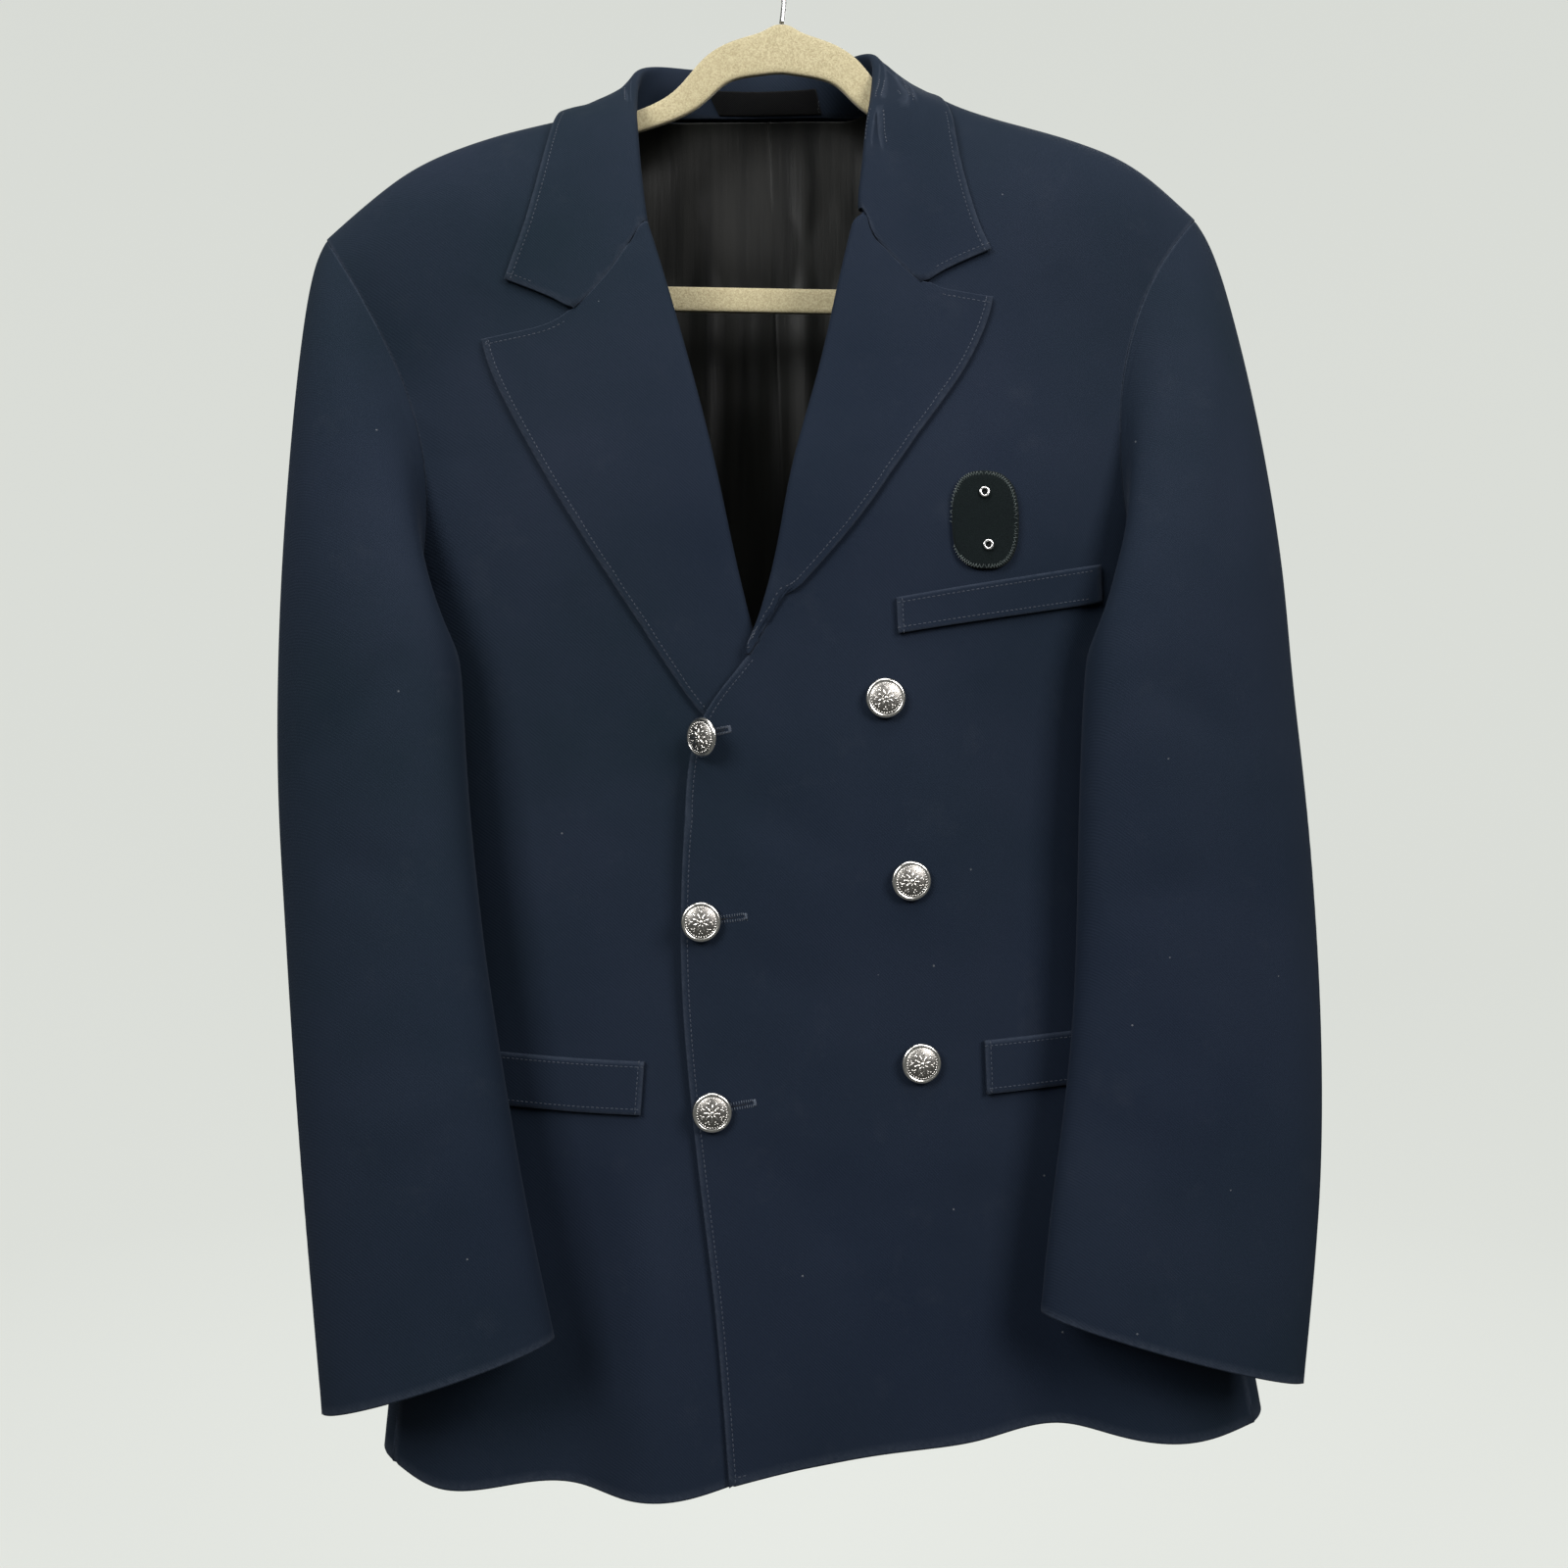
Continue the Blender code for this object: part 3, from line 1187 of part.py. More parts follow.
def main():
    clear_scene()
    tree = shell_tree(make_fronts() + make_sides() + make_backs())
    make_linings()
    make_lapels(tree)
    make_collar(tree)
    make_sleeves(tree)
    make_pockets()
    make_badge_tab()
    make_eyelets()
    make_buttons()
    make_hanger_body()
    make_hanger_hook()


main()
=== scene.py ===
"""Uniform jacket on a flocked hanger: the cloth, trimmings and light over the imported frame.

Metres, +Z up. The front faces -Y and the wearer's left is at +X. The origin is the inside
of the hanger hook's crown. Tables are in millimetres, and a height in them is written as
how far down it lies.
"""
import math
from collections import namedtuple

import bmesh
import bpy
import numpy as np
from mathutils import Matrix, Vector
from mathutils.bvhtree import BVHTree
from mathutils.kdtree import KDTree


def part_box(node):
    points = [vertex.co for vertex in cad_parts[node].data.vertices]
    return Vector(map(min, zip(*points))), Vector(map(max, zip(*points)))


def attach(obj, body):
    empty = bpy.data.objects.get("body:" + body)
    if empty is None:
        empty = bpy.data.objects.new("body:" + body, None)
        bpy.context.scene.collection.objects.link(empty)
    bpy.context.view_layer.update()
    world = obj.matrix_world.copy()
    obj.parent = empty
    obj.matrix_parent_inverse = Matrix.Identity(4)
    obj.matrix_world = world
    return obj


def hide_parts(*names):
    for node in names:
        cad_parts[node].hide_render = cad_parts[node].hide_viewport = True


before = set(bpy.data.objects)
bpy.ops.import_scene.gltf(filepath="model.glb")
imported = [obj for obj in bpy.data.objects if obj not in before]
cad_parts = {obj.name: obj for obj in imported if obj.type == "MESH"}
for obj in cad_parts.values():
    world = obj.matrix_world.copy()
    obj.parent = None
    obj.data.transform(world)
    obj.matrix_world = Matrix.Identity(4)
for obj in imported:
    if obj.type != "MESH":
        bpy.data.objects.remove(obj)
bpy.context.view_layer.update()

MM = 0.001

# The lens in millimetres, and where the camera stands in metres
LENS = 36.0
CAMERA_PLACE = (0.0, -0.96, -0.545)

# Cloth
CREASE_ANGLE = math.radians(50)
RIM_CREASE = 0.92
CLEAR_REACH = 9.0
LAYER_THICK = 0.6
ARMHOLE_LOW = 468.0
HEAD_REACH = 9.0
HEAD_DRAW = 0.96
HEAD_FADE = 26.0
SEAM_FADE = 9.0
STITCH_CLEAR = 6.5
LINING_SEAM = 4.0
LAYER_GAP = 0.5
STITCH_LENGTH = 2.1
STITCH_PITCH = 2.8
STITCH_THICK = 0.36
STITCH_WIDE = 0.75
STITCH_STEP = 2.5
MIN_RIM = 8
STITCH_LAND_FROM = 12
FACING_FRONT = -0.3

# Shells: the subdivision of each cloth node, and the cut of what shows of it
Shell = namedtuple("Shell", "node levels width length area way")
SHELLS = [
    Shell("front_left", 3, 345, 850, 0.1950, "front"),
    Shell("front_right", 3, 390, 870, 0.1830, "front"),
    Shell("side_left", 2, 110, 480, 0.0327, "side_left"),
    Shell("side_right", 2, 110, 500, 0.0342, "side_right"),
    Shell("back_left", 2, 290, 830, 0.1840, "back"),
    Shell("back_right", 2, 320, 830, 0.1880, "back"),
    Shell("lapel_left", 2, 110, 320, 0.0200, "front"),
    Shell("lapel_right", 2, 140, 380, 0.0315, "front"),
    Shell("collar", 2, 110, 520, 0.0404, "none"),
    Shell("sleeve_left_top", 3, 240, 660, 0.1065, "sleeve_left"),
    Shell("sleeve_left_under", 2, 190, 560, 0.0770, "sleeve_left"),
    Shell("sleeve_right_top", 3, 240, 660, 0.1000, "sleeve_right"),
    Shell("sleeve_right_under", 2, 190, 560, 0.0730, "sleeve_right"),
    Shell("flap_left", 2, 110, 32, 0.0033, "front"),
    Shell("flap_right", 2, 122, 32, 0.0038, "front"),
    Shell("breast_welt", 2, 122, 24, 0.0027, "front"),
]
# Panels that are sewn edge to edge: the two shells, and how far apart their edges may lie
SEAMS = [
    ("front_left", "side_left", 3.2), ("front_right", "side_right", 3.2),
    ("side_left", "back_left", 3.2), ("side_right", "back_right", 3.2),
    ("front_left", "back_left", 3.2), ("front_right", "back_right", 3.2),
    ("back_left", "back_right", 3.2), ("sleeve_left_top", "sleeve_left_under", 3.2),
    ("sleeve_right_top", "sleeve_right_under", 3.2),
    ("front_left", "lapel_left", 10.0), ("front_right", "lapel_right", 5.0),
    ("collar", "lapel_left", 7.0), ("collar", "lapel_right", 7.0),
]
BODY_SHELLS = ("front_left", "front_right", "side_left", "side_right", "back_left", "back_right")
LINING_SHELLS = [
    Shell("lining_left", 3, 260, 780, 0.1520, "lining"),
    Shell("lining_right", 3, 290, 780, 0.1555, "lining"),
]

# Soft creases and folds pressed into the shells: a line from one place to another, its half
# width and its height outwards
Press = namedtuple("Press", "way x down end_x end_down width height")
PRESSES = [
    Press("front", 46, 452, 40, 590, 2.2, -0.5),
    Press("front", -38, 540, 30, 590, 16, -1.6),
    Press("front", -40, 640, 40, 668, 18, -1.3),
    Press("front", -34, 745, 60, 800, 22, -1.5),
    Press("front", 70, 520, 96, 690, 20, 1.4),
    Press("front", 120, 480, 150, 640, 24, -1.6),
    Press("front", 30, 800, 18, 925, 20, 1.8),
    Press("front", 105, 760, 112, 910, 24, -2.2),
    Press("front", -120, 430, -96, 560, 22, -1.6),
    Press("front", -150, 560, -130, 690, 24, 1.6),
    Press("front", -110, 760, -104, 930, 18, -1.6),
    Press("front", -68, 780, -70, 930, 16, 1.4),
    Press("front", 150, 250, 206, 330, 20, -2.0),
    Press("front", -170, 260, -214, 330, 20, -1.6),
    Press("front", -190, 360, -200, 430, 14, 1.4),
    Press("back", -150, 200, 130, 210, 26, -1.8),
    Press("back", -60, 330, -100, 560, 30, -1.8),
    Press("back", 70, 340, 96, 600, 30, 2.0),
    Press("back", 150, 300, 200, 420, 18, -2.2),
    Press("back", -160, 310, -208, 430, 18, -2.0),
    Press("back", -30, 560, -60, 880, 24, 2.0),
    Press("back", 40, 620, 60, 900, 26, -2.2),
    Press("back", 140, 620, 150, 900, 22, 1.8),
    Press("back", -150, 640, -160, 920, 24, -1.8),
    Press("sleeve_left", 262, 250, 250, 430, 12, -1.6),
    Press("sleeve_left", 190, 480, 262, 530, 14, -1.8),
    Press("sleeve_left", 176, 610, 250, 596, 16, -1.6),
    Press("sleeve_left", 168, 700, 240, 738, 16, 1.4),
    Press("sleeve_left", 280, 560, 286, 790, 12, 1.6),
    Press("sleeve_left", 210, 760, 204, 850, 14, -1.4),
    Press("sleeve_right", -266, 260, -254, 420, 12, -1.6),
    Press("sleeve_right", -206, 470, -268, 540, 14, -1.6),
    Press("sleeve_right", -190, 600, -258, 586, 15, -1.4),
    Press("sleeve_right", -164, 700, -232, 742, 15, 1.4),
    Press("sleeve_right", -176, 770, -180, 862, 12, -1.4),
    Press("lining", -48, 150, -52, 440, 8, 2.0),
    Press("lining", -30, 170, -34, 480, 5, 1.2),
    Press("lining", 12, 135, 18, 460, 7, 1.8),
    Press("lining", 36, 165, 46, 470, 6, 1.5),
    Press("lining", -76, 200, -84, 470, 9, 1.6),
    Press("lining", 66, 190, 80, 470, 9, 1.8),
    Press("lining", -16, 200, -20, 560, 5, 1.5),
    Press("lining", -2, 260, -2, 540, 4, 1.1),
    Press("none", -86, 124, -66, 106, 5, -1.6),
]

# Crumples in the solids that the real cloth doesn't show: the cloth is eased around them
Crumple = namedtuple("Crumple", "node x y down reach rounds")
CRUMPLES = [Crumple("collar", 85, -24, 112, 34, 14)]
RELAX_STEP = 0.5

# Rows of topstitching: the piece, the way it faces, and what part of its rim is sewn
Row = namedtuple("Row", "piece inset left right top bottom clear")
STITCH_ROWS = [
    Row("collar", 3.6, -175, 140, 120, 262, ("lapel_left", "lapel_right")),
    Row("lapel_left", 3.6, -52, 140, 262, 480, ("collar",)),
    Row("lapel_right", 3.6, -190, 12, 262, 546, ("collar",)),
    Row("front_left", 3.4, -66, -20, 474, 932, ()),
    Row("flap_left", 3.0, 100, 205, 684, 722, ()),
    Row("flap_right", 3.0, -190, -70, 690, 740, ()),
    Row("breast_welt", 3.0, 50, 176, 416, 470, ()),
]

# Worked buttonholes on the over front: from the button's side to the outer end
Hole = namedtuple("Hole", "x down end_x end_down")
BUTTONHOLES = [Hole(-43, 517, -31, 514.5), Hole(-46, 622, -22, 619), Hole(-40, 727, -17, 723)]
HOLE_HALF_WIDTH = 1.5
HOLE_STITCHES = 58

# Buttons
BUTTON_RADIUS = 11.2
BUTTON_NODES = [f"button_{column}_{row}" for column in ("edge", "far") for row in ("top", "middle", "low")]
BEAD_COUNT = 36
PETAL_COUNT = 8

# Badge tab
TAB_CENTRE = (112.0, 397.0)
TAB_HALF = (19.0, 27.5)
TAB_FULLNESS = 2.7
TAB_STITCHES = 78
TAB_STITCH_REACH = 0.95
TAB_STITCH_LEAN = 0.55
TAB_STITCH_LONG = 3.0
TAB_STITCH_WIDE = 0.34
EYELET_RADIUS = 2.3
EYELET_WIRE = 0.78
EYELET_BORE = 2.9
EYELET_BORE_DEEP = 0.25
EYELET_NODES = ("eyelet_upper", "eyelet_lower")

# Label
LABEL_TACK_INSET = 2.2
LABEL_TACKS = 7

# Colours, as linear shares of light
WOOL_DEEP = (0.0052, 0.0098, 0.0205)
WOOL_GREENISH = (0.0048, 0.0115, 0.0180)
WOOL_LIGHT = (0.0082, 0.0135, 0.0255)
# The next colour is partly rubbed wear and partly a painted highlight along the wool's folded rims.
WOOL_RUBBED_AND_HIGHLIGHT = (0.0420, 0.0520, 0.0720)
DUST = (0.20, 0.21, 0.22)
SATIN_DEEP = (0.0032, 0.0036, 0.0033)
# The next colour is a painted reflection: the lighter streaks of the satin's sheen.
SATIN_STREAK_REFLECTION = (0.0085, 0.0088, 0.0074)
SATIN_WARM = (0.0180, 0.0172, 0.0132)
FELT_DEEP = (0.0014, 0.0034, 0.0038)
FELT_LIGHT = (0.0040, 0.0078, 0.0082)
LABEL_DEEP = (0.0006, 0.0007, 0.0009)
LABEL_LIGHT = (0.0018, 0.0020, 0.0024)
NAVY_THREAD = ((0.0150, 0.0210, 0.0340), (0.0300, 0.0400, 0.0600))
HOLE_THREAD = ((0.0350, 0.0460, 0.0680), (0.0750, 0.0930, 0.1250))
OVERLOCK_THREAD = ((0.0450, 0.0620, 0.0600), (0.1050, 0.1300, 0.1250))
FLOCK_DEEP = (0.28, 0.235, 0.130)
FLOCK_LIGHT = (0.47, 0.415, 0.26)
SILVER_BRIGHT = (0.86, 0.84, 0.80)
SILVER_GROUND = (0.085, 0.078, 0.068)
SILVER_WARM = (0.58, 0.53, 0.46)
WIRE_BRIGHT = (0.72, 0.72, 0.71)
WIRE_DULL = (0.40, 0.39, 0.37)
# The next colour is painted shade, in the buttonhole slits and the eyelet bores.
SLIT_SHADE = (0.0018, 0.0020, 0.0026)
FLOOR_PALE = (0.16, 0.165, 0.16)
ROOM_PALE = (0.68, 0.70, 0.66)

# Room and lights
FLOOR_DOWN = 1450.0
BOWL_RADIUS = 4.2
BOWL_CURVE = 1.6
BOWL_HEIGHT = 4.5
BOWL_STEPS = 14
Lamp = namedtuple("Lamp", "name place aim side power warmth")
LAMPS = [
    Lamp("softbox_left", (-1.35, -1.90, 0.65), (0.0, 0.0, -0.50), 1.1, 54.0, 1.00),
    Lamp("softbox_right", (1.50, -1.80, 0.60), (0.0, 0.0, -0.50), 1.1, 54.0, 0.98),
    Lamp("overhead", (0.0, -0.80, 1.50), (0.0, 0.0, -0.45), 1.2, 24.0, 1.00),
    Lamp("back_wash", (0.3, 2.20, 0.90), (0.0, 0.0, -0.50), 1.8, 30.0, 1.00),
]
ROOM_LIGHT = 0.17
BACKDROP_GLOW = 0.93


def deselect():
    if bpy.context.object and bpy.context.object.mode != "OBJECT":
        bpy.ops.object.mode_set(mode="OBJECT")
    bpy.ops.object.select_all(action="DESELECT")


def choose(piece):
    deselect()
    piece.select_set(True)
    bpy.context.view_layer.objects.active = piece


def apply_modifiers(piece):
    choose(piece)
    for modifier in list(piece.modifiers):
        bpy.ops.object.modifier_apply(modifier=modifier.name)


def read_points(mesh):
    flat = np.empty(len(mesh.vertices) * 3)
    mesh.vertices.foreach_get("co", flat)
    return flat.reshape(-1, 3)


def write_points(mesh, points):
    mesh.vertices.foreach_set("co", points.reshape(-1))
    mesh.update()


def store(mesh, name, values):
    """Keep a value for each of a mesh's points, for a material to read."""
    layer = mesh.attributes.get(name) or mesh.attributes.new(name, "FLOAT", "POINT")
    layer.data.foreach_set("value", np.asarray(values, dtype=np.float32))


def finish_piece(piece, material, slot, *nodes):
    """Give a piece its material and its place in the frame."""
    piece.data.materials.clear()
    piece.data.materials.append(material)
    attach(piece, "root")
    if nodes:
        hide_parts(*nodes)
    return piece


def mesh_piece(name, points, faces, smooth=True):
    """A new piece from points in metres."""
    mesh = bpy.data.meshes.new(name)
    mesh.from_pydata([tuple(point) for point in points], [], faces)
    mesh.validate()
    if smooth:
        mesh.shade_smooth()
    piece = bpy.data.objects.new(name, mesh)
    bpy.context.scene.collection.objects.link(piece)
    return piece


def unit(vector):
    vector = np.asarray(vector, float)
    return vector / max(np.linalg.norm(vector), 1e-12)
def relax(shape, crumple):
    """Ease a sharp crumple: its points settle towards their neighbours, most at its middle."""
    middle = Vector((crumple.x, crumple.y, -crumple.down)) * MM
    for _ in range(crumple.rounds):
        eased = []
        for vertex in shape.verts:
            share = 1 - (vertex.co - middle).length / (crumple.reach * MM)
            if share > 0:
                near = [edge.other_vert(vertex).co for edge in vertex.link_edges]
                mean = sum(near, Vector()) / len(near)
                eased.append((vertex, vertex.co.lerp(mean, min(1.0, 2 * share) * RELAX_STEP)))
        for vertex, place in eased:
            vertex.co = place




def shell_of(row):
    """A cloth shell: the node's mesh merged to quads, its rims creased, then subdivided."""
    piece = bpy.data.objects.new(row.node + "_cloth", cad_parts[row.node].data.copy())
    bpy.context.scene.collection.objects.link(piece)
    choose(piece)
    bpy.ops.object.mode_set(mode="EDIT")
    bpy.ops.mesh.select_all(action="SELECT")
    bpy.ops.mesh.remove_doubles(threshold=0.00002)
    bpy.ops.mesh.tris_convert_to_quads(face_threshold=math.radians(40), shape_threshold=math.radians(80))
    bpy.ops.object.mode_set(mode="OBJECT")
    shape = bmesh.new()
    shape.from_mesh(piece.data)
    crease = shape.edges.layers.float.get("crease_edge") or shape.edges.layers.float.new("crease_edge")
    corner = shape.verts.layers.float.get("crease_vert") or shape.verts.layers.float.new("crease_vert")
    for edge in shape.edges:
        if len(edge.link_faces) == 2 and edge.calc_face_angle() > CREASE_ANGLE:
            edge[crease] = RIM_CREASE
    for vertex in shape.verts:
        if sum(edge[crease] > 0 for edge in vertex.link_edges) > 2:
            vertex[corner] = 1.0
    for crumple in CRUMPLES:
        if crumple.node == row.node:
            relax(shape, crumple)
    shape.to_mesh(piece.data)
    shape.free()
    rounding = piece.modifiers.new("rounding", "SUBSURF")
    rounding.levels = row.levels
    rounding.render_levels = row.levels
    apply_modifiers(piece)
    piece.data.shade_smooth()
    return piece


def outwards(way, points):
    """The direction in which each point of a shell is pressed out."""
    if way == "back":
        return np.tile((0.0, 1.0, 0.0), (len(points), 1))
    if way.startswith("s"):
        middle = np.array((0.225 if way.endswith("left") else -0.215, -0.06, 0.0))
        if way.startswith("side"):
            middle = np.array((0.0, 0.0, 0.0))
        flat = points - middle
        flat[:, 2] = 0
        return flat / np.maximum(np.linalg.norm(flat, axis=1, keepdims=True), 1e-6)
    return np.tile((0.0, -1.0, 0.0), (len(points), 1))


def press(piece, way):
    """Press the table's folds into a shell, both sides of the cloth alike."""
    points = read_points(piece.data)
    out = outwards(way, points)
    x, down = points[:, 0] / MM, -points[:, 2] / MM
    height = np.zeros(len(points))
    for fold in PRESSES:
        if fold.way != way:
            continue
        start = np.array((fold.x, fold.down), float)
        run = np.array((fold.end_x, fold.end_down), float) - start
        length = np.linalg.norm(run)
        run = run / length
        along = (x - start[0]) * run[0] + (down - start[1]) * run[1]
        across = (x - start[0]) * -run[1] + (down - start[1]) * run[0]
        share = np.clip(along / length, 0, 1)
        taper = np.sin(math.pi * np.clip(share, 0, 1)) ** 0.7
        inside = (along > 0) & (along < length)
        height += np.where(inside, fold.height * taper * np.exp(-(across / fold.width) ** 2), 0)
    if way.startswith("sleeve"):
        height = np.where(out[:, 1] < 0.2, height, height * 0.6)
    write_points(piece.data, points + out * height[:, None] * MM)


def rim_loops(piece, facing):
    """The outer rims of a shell's face that looks one way, as ordered lines of vertices."""
    shape = bmesh.new()
    shape.from_mesh(piece.data)
    shape.normal_update()
    shape.verts.ensure_lookup_table()
    crease = shape.edges.layers.float.get("crease_edge")
    rim = [edge for edge in shape.edges
           if crease and edge[crease] > 0 and any(facing(face.normal) for face in edge.link_faces)]
    links = {}
    for edge in rim:
        a, b = (vertex.index for vertex in edge.verts)
        links.setdefault(a, []).append(b)
        links.setdefault(b, []).append(a)
    loops, seen = [], set()
    for start in sorted(links, key=lambda i: (len(links[i]), i)):
        if start in seen:
            continue
        line, here, before = [start], start, None
        seen.add(start)
        while True:
            ahead = [n for n in links[here] if n != before and n not in seen]
            if not ahead:
                break
            before, here = here, ahead[0]
            seen.add(here)
            line.append(here)
        if len(line) > 2 and start in links[here]:
            line.append(start)
        loops.append(line)
    places = [[shape.verts[i].co.copy() for i in line] for line in loops]
    shape.free()
    return places


def wear_and_highlight_along_rims(piece):
    """Mark the points near a shell's rims, where cloth is pressed and rubbed pale; on the wool the paler rims
    are also a painted highlight along the folded edges.
    """
    mesh = piece.data
    points = read_points(mesh)
    crease = mesh.attributes.get("crease_edge")
    marks = np.zeros(len(points))
    if crease:
        values = np.empty(len(mesh.edges), dtype=np.float32)
        crease.data.foreach_get("value", values)
        ends = np.empty(len(mesh.edges) * 2, dtype=np.int32)
        mesh.edges.foreach_get("vertices", ends)
        marks[ends.reshape(-1, 2)[values > 0].reshape(-1)] = 1.0
    store(mesh, "rim", marks)


def clear_of(piece, trees, gap):
    """Keep a layer in front of the cloth behind it, wherever a fold would sink into it."""
    points = read_points(piece.data)
    normals = np.empty(len(points) * 3)
    piece.data.vertices.foreach_get("normal", normals)
    facing = normals.reshape(-1, 3)[:, 1] < 0
    for i, point in enumerate(points):
        for tree in trees:
            start = Vector((point[0], point[1] - CLEAR_REACH * MM, point[2]))
            place, _, _, _ = tree.ray_cast(start, Vector((0, 1, 0)), 2 * CLEAR_REACH * MM)
            if place is not None:
                deepest = place.y - (gap + (LAYER_THICK if facing[i] else 0)) * MM
                points[i, 1] = min(points[i, 1], deepest)
    write_points(piece.data, points)


def rim_points(piece):
    """The points of a shell that are on its rims."""
    marks = np.empty(len(piece.data.vertices), dtype=np.float32)
    piece.data.attributes["rim"].data.foreach_get("value", marks)
    return marks > 0.5


def point_tree(points):
    tree = KDTree(len(points))
    for i, point in enumerate(points):
        tree.insert(point, i)
    tree.balance()
    return tree


def draw(piece, heads, moves, fade):
    """Carry the points near some rim points along with them, fading out over a distance."""
    if not heads:
        return
    points = read_points(piece.data)
    tree = point_tree(heads)
    for i in range(len(points)):
        near = tree.find_n(points[i], 4)
        share = max(0.0, 1 - near[0][2] / (fade * MM)) ** 2
        if share > 0:
            points[i] += np.mean([moves[k] for _, k, _ in near], axis=0) * share
    write_points(piece.data, points)


def close_seam(first, second, reach):
    """Draw two sewn edges together until they meet half way."""
    rims = [read_points(piece.data)[rim_points(piece)] for piece in (first, second)]
    for piece, own, other in ((first, rims[0], rims[1]), (second, rims[1], rims[0])):
        tree = point_tree(other)
        heads, moves = [], []
        for point in own:
            place, _, far = tree.find(point)
            if far < reach * MM:
                heads.append(point.copy())
                moves.append((np.array(place) - point) / 2)
        draw(piece, heads, moves, SEAM_FADE)


def sew_in(sleeve, body_tree, rim_tree):
    """Draw the head of a sleeve against the armhole's edge, fading out below the seam."""
    points = read_points(sleeve.data)
    rims = np.flatnonzero(rim_points(sleeve) & (points[:, 2] > -ARMHOLE_LOW * MM))
    heads, moves = [], []
    for i in rims:
        _, _, far = rim_tree.find(points[i])
        if far > HEAD_REACH * MM:
            continue
        place, _, _, _ = body_tree.find_nearest(Vector(points[i]))
        heads.append(points[i].copy())
        moves.append((np.array(place) - points[i]) * HEAD_DRAW)
    draw(sleeve, heads, moves, HEAD_FADE)


def tree_of(piece):
    mesh = piece.data
    return BVHTree.FromPolygons([v.co for v in mesh.vertices], [tuple(p.vertices) for p in mesh.polygons])


def land(tree, x, down, depth=-400.0):
    """Where a straight line from the front first meets a shell, and its normal there."""
    origin = Vector((x * MM, depth * MM, -down * MM))
    place, normal, _, _ = tree.ray_cast(origin, Vector((0, 1, 0)))
    return place, normal


def stitch_shape():
    """One stitch: a low six-sided lozenge along +X, a unit long."""
    ring = [(-0.5, 0.0, 0.0), (-0.32, 0.5, 0.0), (0.32, 0.5, 0.0), (0.5, 0.0, 0.0),
            (0.32, -0.5, 0.0), (-0.32, -0.5, 0.0)]
    top = [(-0.28, 0.0, 1.0), (0.28, 0.0, 1.0)]
    faces = [(0, 1, 6), (1, 2, 7, 6), (2, 3, 7), (3, 4, 7), (4, 5, 6, 7), (5, 0, 6), (0, 5, 4, 3, 2, 1)]
    return np.array(ring + top), faces


def sew(name, places, width, height, sink=0.12):
    """Join stitches into one mesh: each place has a middle, a direction, a normal and a length."""
    shape, shape_faces = stitch_shape()
    points, faces = [], []
    for middle, along, normal, length in places:
        along = unit(along)
        across = unit(np.cross(normal, along))
        up = np.cross(along, across)
        first = len(points)
        for px, py, pz in shape:
            points.append(middle + along * px * length + across * py * width
                          + up * (pz * height - sink * MM))
        faces.extend(tuple(first + i for i in face) for face in shape_faces)
    return mesh_piece(name, points, faces)


def even_places(line, pitch):
    """Places and directions at an even pitch along a line of points."""
    line = np.array(line)
    steps = np.linalg.norm(np.diff(line, axis=0), axis=1)
    reach = np.concatenate(([0.0], np.cumsum(steps)))
    count = int(reach[-1] / pitch)
    if count < 2:
        return []
    wanted = (np.arange(count) + 0.5) * reach[-1] / count
    middles = np.stack([np.interp(wanted, reach, column) for column in line.T], axis=1)
    ahead = np.stack([np.interp(np.minimum(wanted + pitch * 0.4, reach[-1]), reach, column)
                      for column in line.T], axis=1)
    behind = np.stack([np.interp(np.maximum(wanted - pitch * 0.4, 0), reach, column)
                       for column in line.T], axis=1)
    return list(zip(middles, ahead - behind))


def sewn_rows(shells):
    """Topstitching along the rims of the edges that show it."""
    places = []
    for row in STITCH_ROWS:
        tree = tree_of(shells[row.piece])
        others = [read_points(shells[name].data)[rim_points(shells[name])] for name in row.clear]
        clear = point_tree(np.concatenate(others)) if others else None
        for line in rim_loops(shells[row.piece], lambda normal: normal.y < FACING_FRONT):
            if len(line) > MIN_RIM:
                places.extend(stitches_inside(line, row, tree, clear))
    return sew("topstitching", places, STITCH_WIDE * MM, STITCH_THICK * MM)


def stitches_inside(line, row, tree, clear):
    """Stitches a little inside one rim, where the row says that it is sewn."""
    places = []
    for middle, along in even_places(line, STITCH_PITCH * MM):
        x, down = middle[0] / MM, -middle[2] / MM
        if not (row.left < x < row.right and row.top < down < row.bottom):
            continue
        if clear and clear.find(middle)[2] < STITCH_CLEAR * MM:
            continue
        flat = unit((along[0], 0.0, along[2]))
        inward = np.array((-flat[2], 0.0, flat[0]))
        for side in (1, -1):
            spot = middle + inward * side * row.inset * MM
            place, normal = land(tree, spot[0] / MM, -spot[2] / MM, middle[1] / MM - STITCH_LAND_FROM)
            near = place is not None and abs(place.y - middle[1]) < STITCH_STEP * MM
            if near and normal.y < FACING_FRONT:
                places.append((np.array(place), along, np.array(normal), STITCH_LENGTH * MM))
                break
    return places


